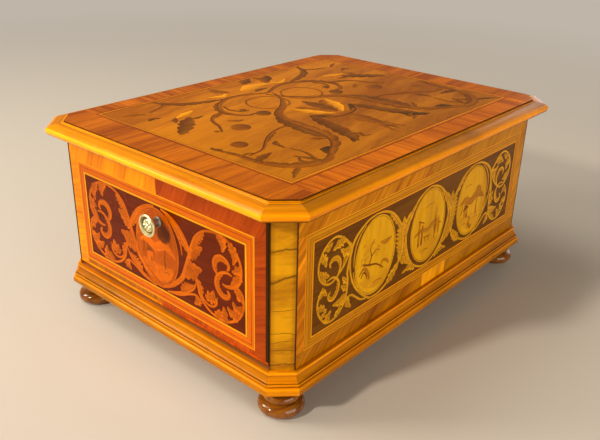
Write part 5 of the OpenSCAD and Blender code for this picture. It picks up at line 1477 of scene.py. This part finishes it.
def makeFly(look):
    # the endless screw with its thread wound by rule, and the air brake's two blades
    centre = Vector((look["x"], look["y"], 0)) * mm
    lo, hi, core = look["wormLow"], look["wormHigh"], look["core"]
    low, high, wide = look["bladeLow"], look["bladeHigh"], look["blade"]
    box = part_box("endless_fly")
    foot, head = box[0][2] / mm, box[1][2] / mm
    shaft = [(foot, 0), (foot + 0.6, 0.7), (foot + 2.4, 0.9), (lo - 2.2, 1.0), (lo - 1.4, core), (hi + 1.4, core),
             (hi + 2, 1.4), (low - 1.6, 1.4), (low - 1.2, 2.4), (low + 1, 2.4), (low + 1.6, 1.5), (high - 1, 1.5),
             (high, 1.3), (head - 2.4, 0.9), (head - 0.6, 0.7), (head, 0)]
    parts = [latheMesh(shaft, centre, (0, 0, 1), 24)]
    bends = (0.4, 0.8, 1.2, 1.57)
    outline = [(1.1, low + 0.4), (wide - 2.5, low)]
    outline += [(wide - 2.5 + 2.4 * math.sin(a), low + 2.5 - 2.5 * math.cos(a)) for a in bends]
    outline += [(wide - 0.1, high - 4)]
    outline += [(wide - 3.6 + 3.5 * math.cos(a), high - 4 + 4 * math.sin(a)) for a in bends]
    outline += [(1.1, high - 0.4)]
    for way in (1, -1):
        n = len(outline)
        points = [centre + Vector((way * r, t, z)) * mm for t in (-0.35, 0.35) for r, z in outline]
        faces = [tuple(range(n)), tuple(reversed(range(n, 2 * n)))]
        faces += [(k, k + n, (k + 1) % n + n, (k + 1) % n) for k in range(n)]
        parts.append((points, faces, [0.0] * (2 * n)))
    metalPiece("endless-screw-and-fly", parts, "steel", "steel", "fly", ("endless_fly",))
    tree, w, given, out = ruleTree("screw thread", [("Turns", "Float", 9.0), ("Radius", "Float", 0.003),
                                                    ("Height", "Float", 0.018), ("Depth", "Float", 0.0006),
                                                    ("Place", "Vector", (0, 0, 0))])
    winding = w.put("GeometryNodeCurveSpiral", {"Resolution": 40, "Rotations": given["Turns"],
                                                "Start Radius": given["Radius"], "End Radius": given["Radius"],
                                                "Height": given["Height"]}).outputs[0]
    ridge = w.put("GeometryNodeCurvePrimitiveCircle", {"Resolution": 6, "Radius": given["Depth"]}).outputs[0]
    wound = w.put("GeometryNodeCurveToMesh", {"Curve": winding, "Profile Curve": ridge, "Fill Caps": True}).outputs[0]
    moved = w.put("GeometryNodeTransform", {"Geometry": wound, "Translation": given["Place"]}).outputs[0]
    endTree(w, moved, finishes["steel"], out)
    depth = (look["thread"] - core) * 0.6
    grown("screw-thread", tree, {"Turns": float(look["turns"]), "Radius": (look["thread"] - depth) * mm,
                                 "Height": (hi - lo - 2 * depth) * mm, "Depth": depth * mm,
                                 "Place": tuple(centre + Vector((0, 0, (lo + depth) * mm)))}, "fly", "steel")


# tone: painted light that lightens the rolled edge against its shade
edgeLook = {"pivot": (-187.0, 50.0), "radius": 6.05, "skin": 0.3, "half": 124.6, "change": 3.0, "tone": 0.5,
            "start": 180, "sweep": 76, "steps": 15}


def veneerDoorEdge(look):
    # the crossbanding carries on round the door's rolled bottom edge, made lighter there by painted light where the
    # roll turns down into shade
    px, pz = look["pivot"]
    for name, finish, y0, y1 in (("door-edge-gold", "goldBand", look["change"], look["half"]),
                                 ("door-edge-red", "doorBand", -look["half"], look["change"])):
        edge = Solid(name, finish, "crossband_veneer", "door")
        points, maps, n = [], [], look["steps"]
        for r in (look["radius"], look["radius"] - look["skin"]):
            for i in range(n):
                a = math.radians(look["start"] + look["sweep"] * i / (n - 1))
                for y in (y0, y1):
                    points.append(((px + r * math.cos(a)) * mm, y * mm, (pz + r * math.sin(a)) * mm))
                    maps.append((r * a * mm, y * mm))
        faces = []
        for i in range(n - 1):
            faces += [(2 * i, 2 * i + 1, 2 * i + 3, 2 * i + 2),
                      (2 * n + 2 * i, 2 * n + 2 * i + 2, 2 * n + 2 * i + 3, 2 * n + 2 * i + 1),
                      (2 * i, 2 * i + 2, 2 * n + 2 * i + 2, 2 * n + 2 * i),
                      (2 * i + 1, 2 * n + 2 * i + 1, 2 * n + 2 * i + 3, 2 * i + 3)]
        e = 2 * (n - 1)
        faces += [(0, 2 * n, 2 * n + 1, 1), (e, e + 1, 2 * n + e + 1, 2 * n + e)]
        edge.add(points, faces, maps, look["tone"])
        edge.finishOff()


turnKnob(knobLook)
setPins(pinLook)
makeFly(flyLook)
veneerDoorEdge(edgeLook)
print("knob, pins, endless screw and fly made")


# Every solid that keeps its own shape gets its finish
for name, key, lay in (("wood along x", "plain", "x"), ("wood along y", "plain", "y"), ("post wood", "post", "cant")):
    finishes[name] = woodFinish(name, woods[key], lay)
keeps = {
    "wood along x": ["floor_board", "front_wall", "back_wall", "lid_board"],
    "wood along y": ["end_wall", "door_sill", "door_board", "partition"],
    "post wood": ["door_posts", "end_posts"],
    "brass": ["hinge_case_leaves", "hinge_lid_leaves", "hinge_case_screws", "hinge_lid_screws", "key_clips",
              "winding_key", "knob_screw", "spring_barrel", "great_wheel", "music_cylinder",
              "governor_first_wheel", "governor_second_wheel", "door_pivots", "click", "governor_frame",
              "endless_bracket"],
    "castBrass": ["bedplate", "comb_base", "barrel_bridge", "centre_bridge", "end_bridge"],
    "steel": ["hinge_pins", "comb", "winding_arbor", "ratchet_wheel", "cylinder_arbor", "tune_snail",
              "stop_lever", "change_lever"],
    "bluedSteel": ["bed_screws", "comb_screws", "click_spring", "mainspring"],
}
for finish, names in keeps.items():
    for name in names:
        piece = nodes[name]
        if not piece.material_slots:
            piece.data.materials.append(finishes[finish])
        for slot in piece.material_slots:
            slot.material = finishes[finish]
print("solids finished")


def layFloor(s):
    # one sheet of paper that fades into the backdrop far away
    mesh = bpy.data.meshes.new("floor")
    corners = [(x * s["half"], y * s["half"], 0) for x, y in ((-1, -1), (1, -1), (1, 1), (-1, 1))]
    mesh.from_pydata(corners, [], [(0, 1, 2, 3)])
    floor = newObject("floor", mesh)
    material, w, skin = newMaterial("floor paper")
    away = w.put("ShaderNodeVectorMath", {0: w.place()}, operation="LENGTH").outputs["Value"]
    far = w.ramp(away, *s["fade"])
    for socket, value in (("Base Color", w.mix(far, s["floor"], (0, 0, 0, 1))), ("Roughness", 0.9),
                          ("Emission Color", w.mix(far, (0, 0, 0, 1), s["backdrop"])),
                          ("Emission Strength", 1), ("Specular IOR Level", 0.0)):
        w.feed(skin[socket], value)
    mesh.materials.append(material)


layFloor(studio)
bpy.context.view_layer.update()
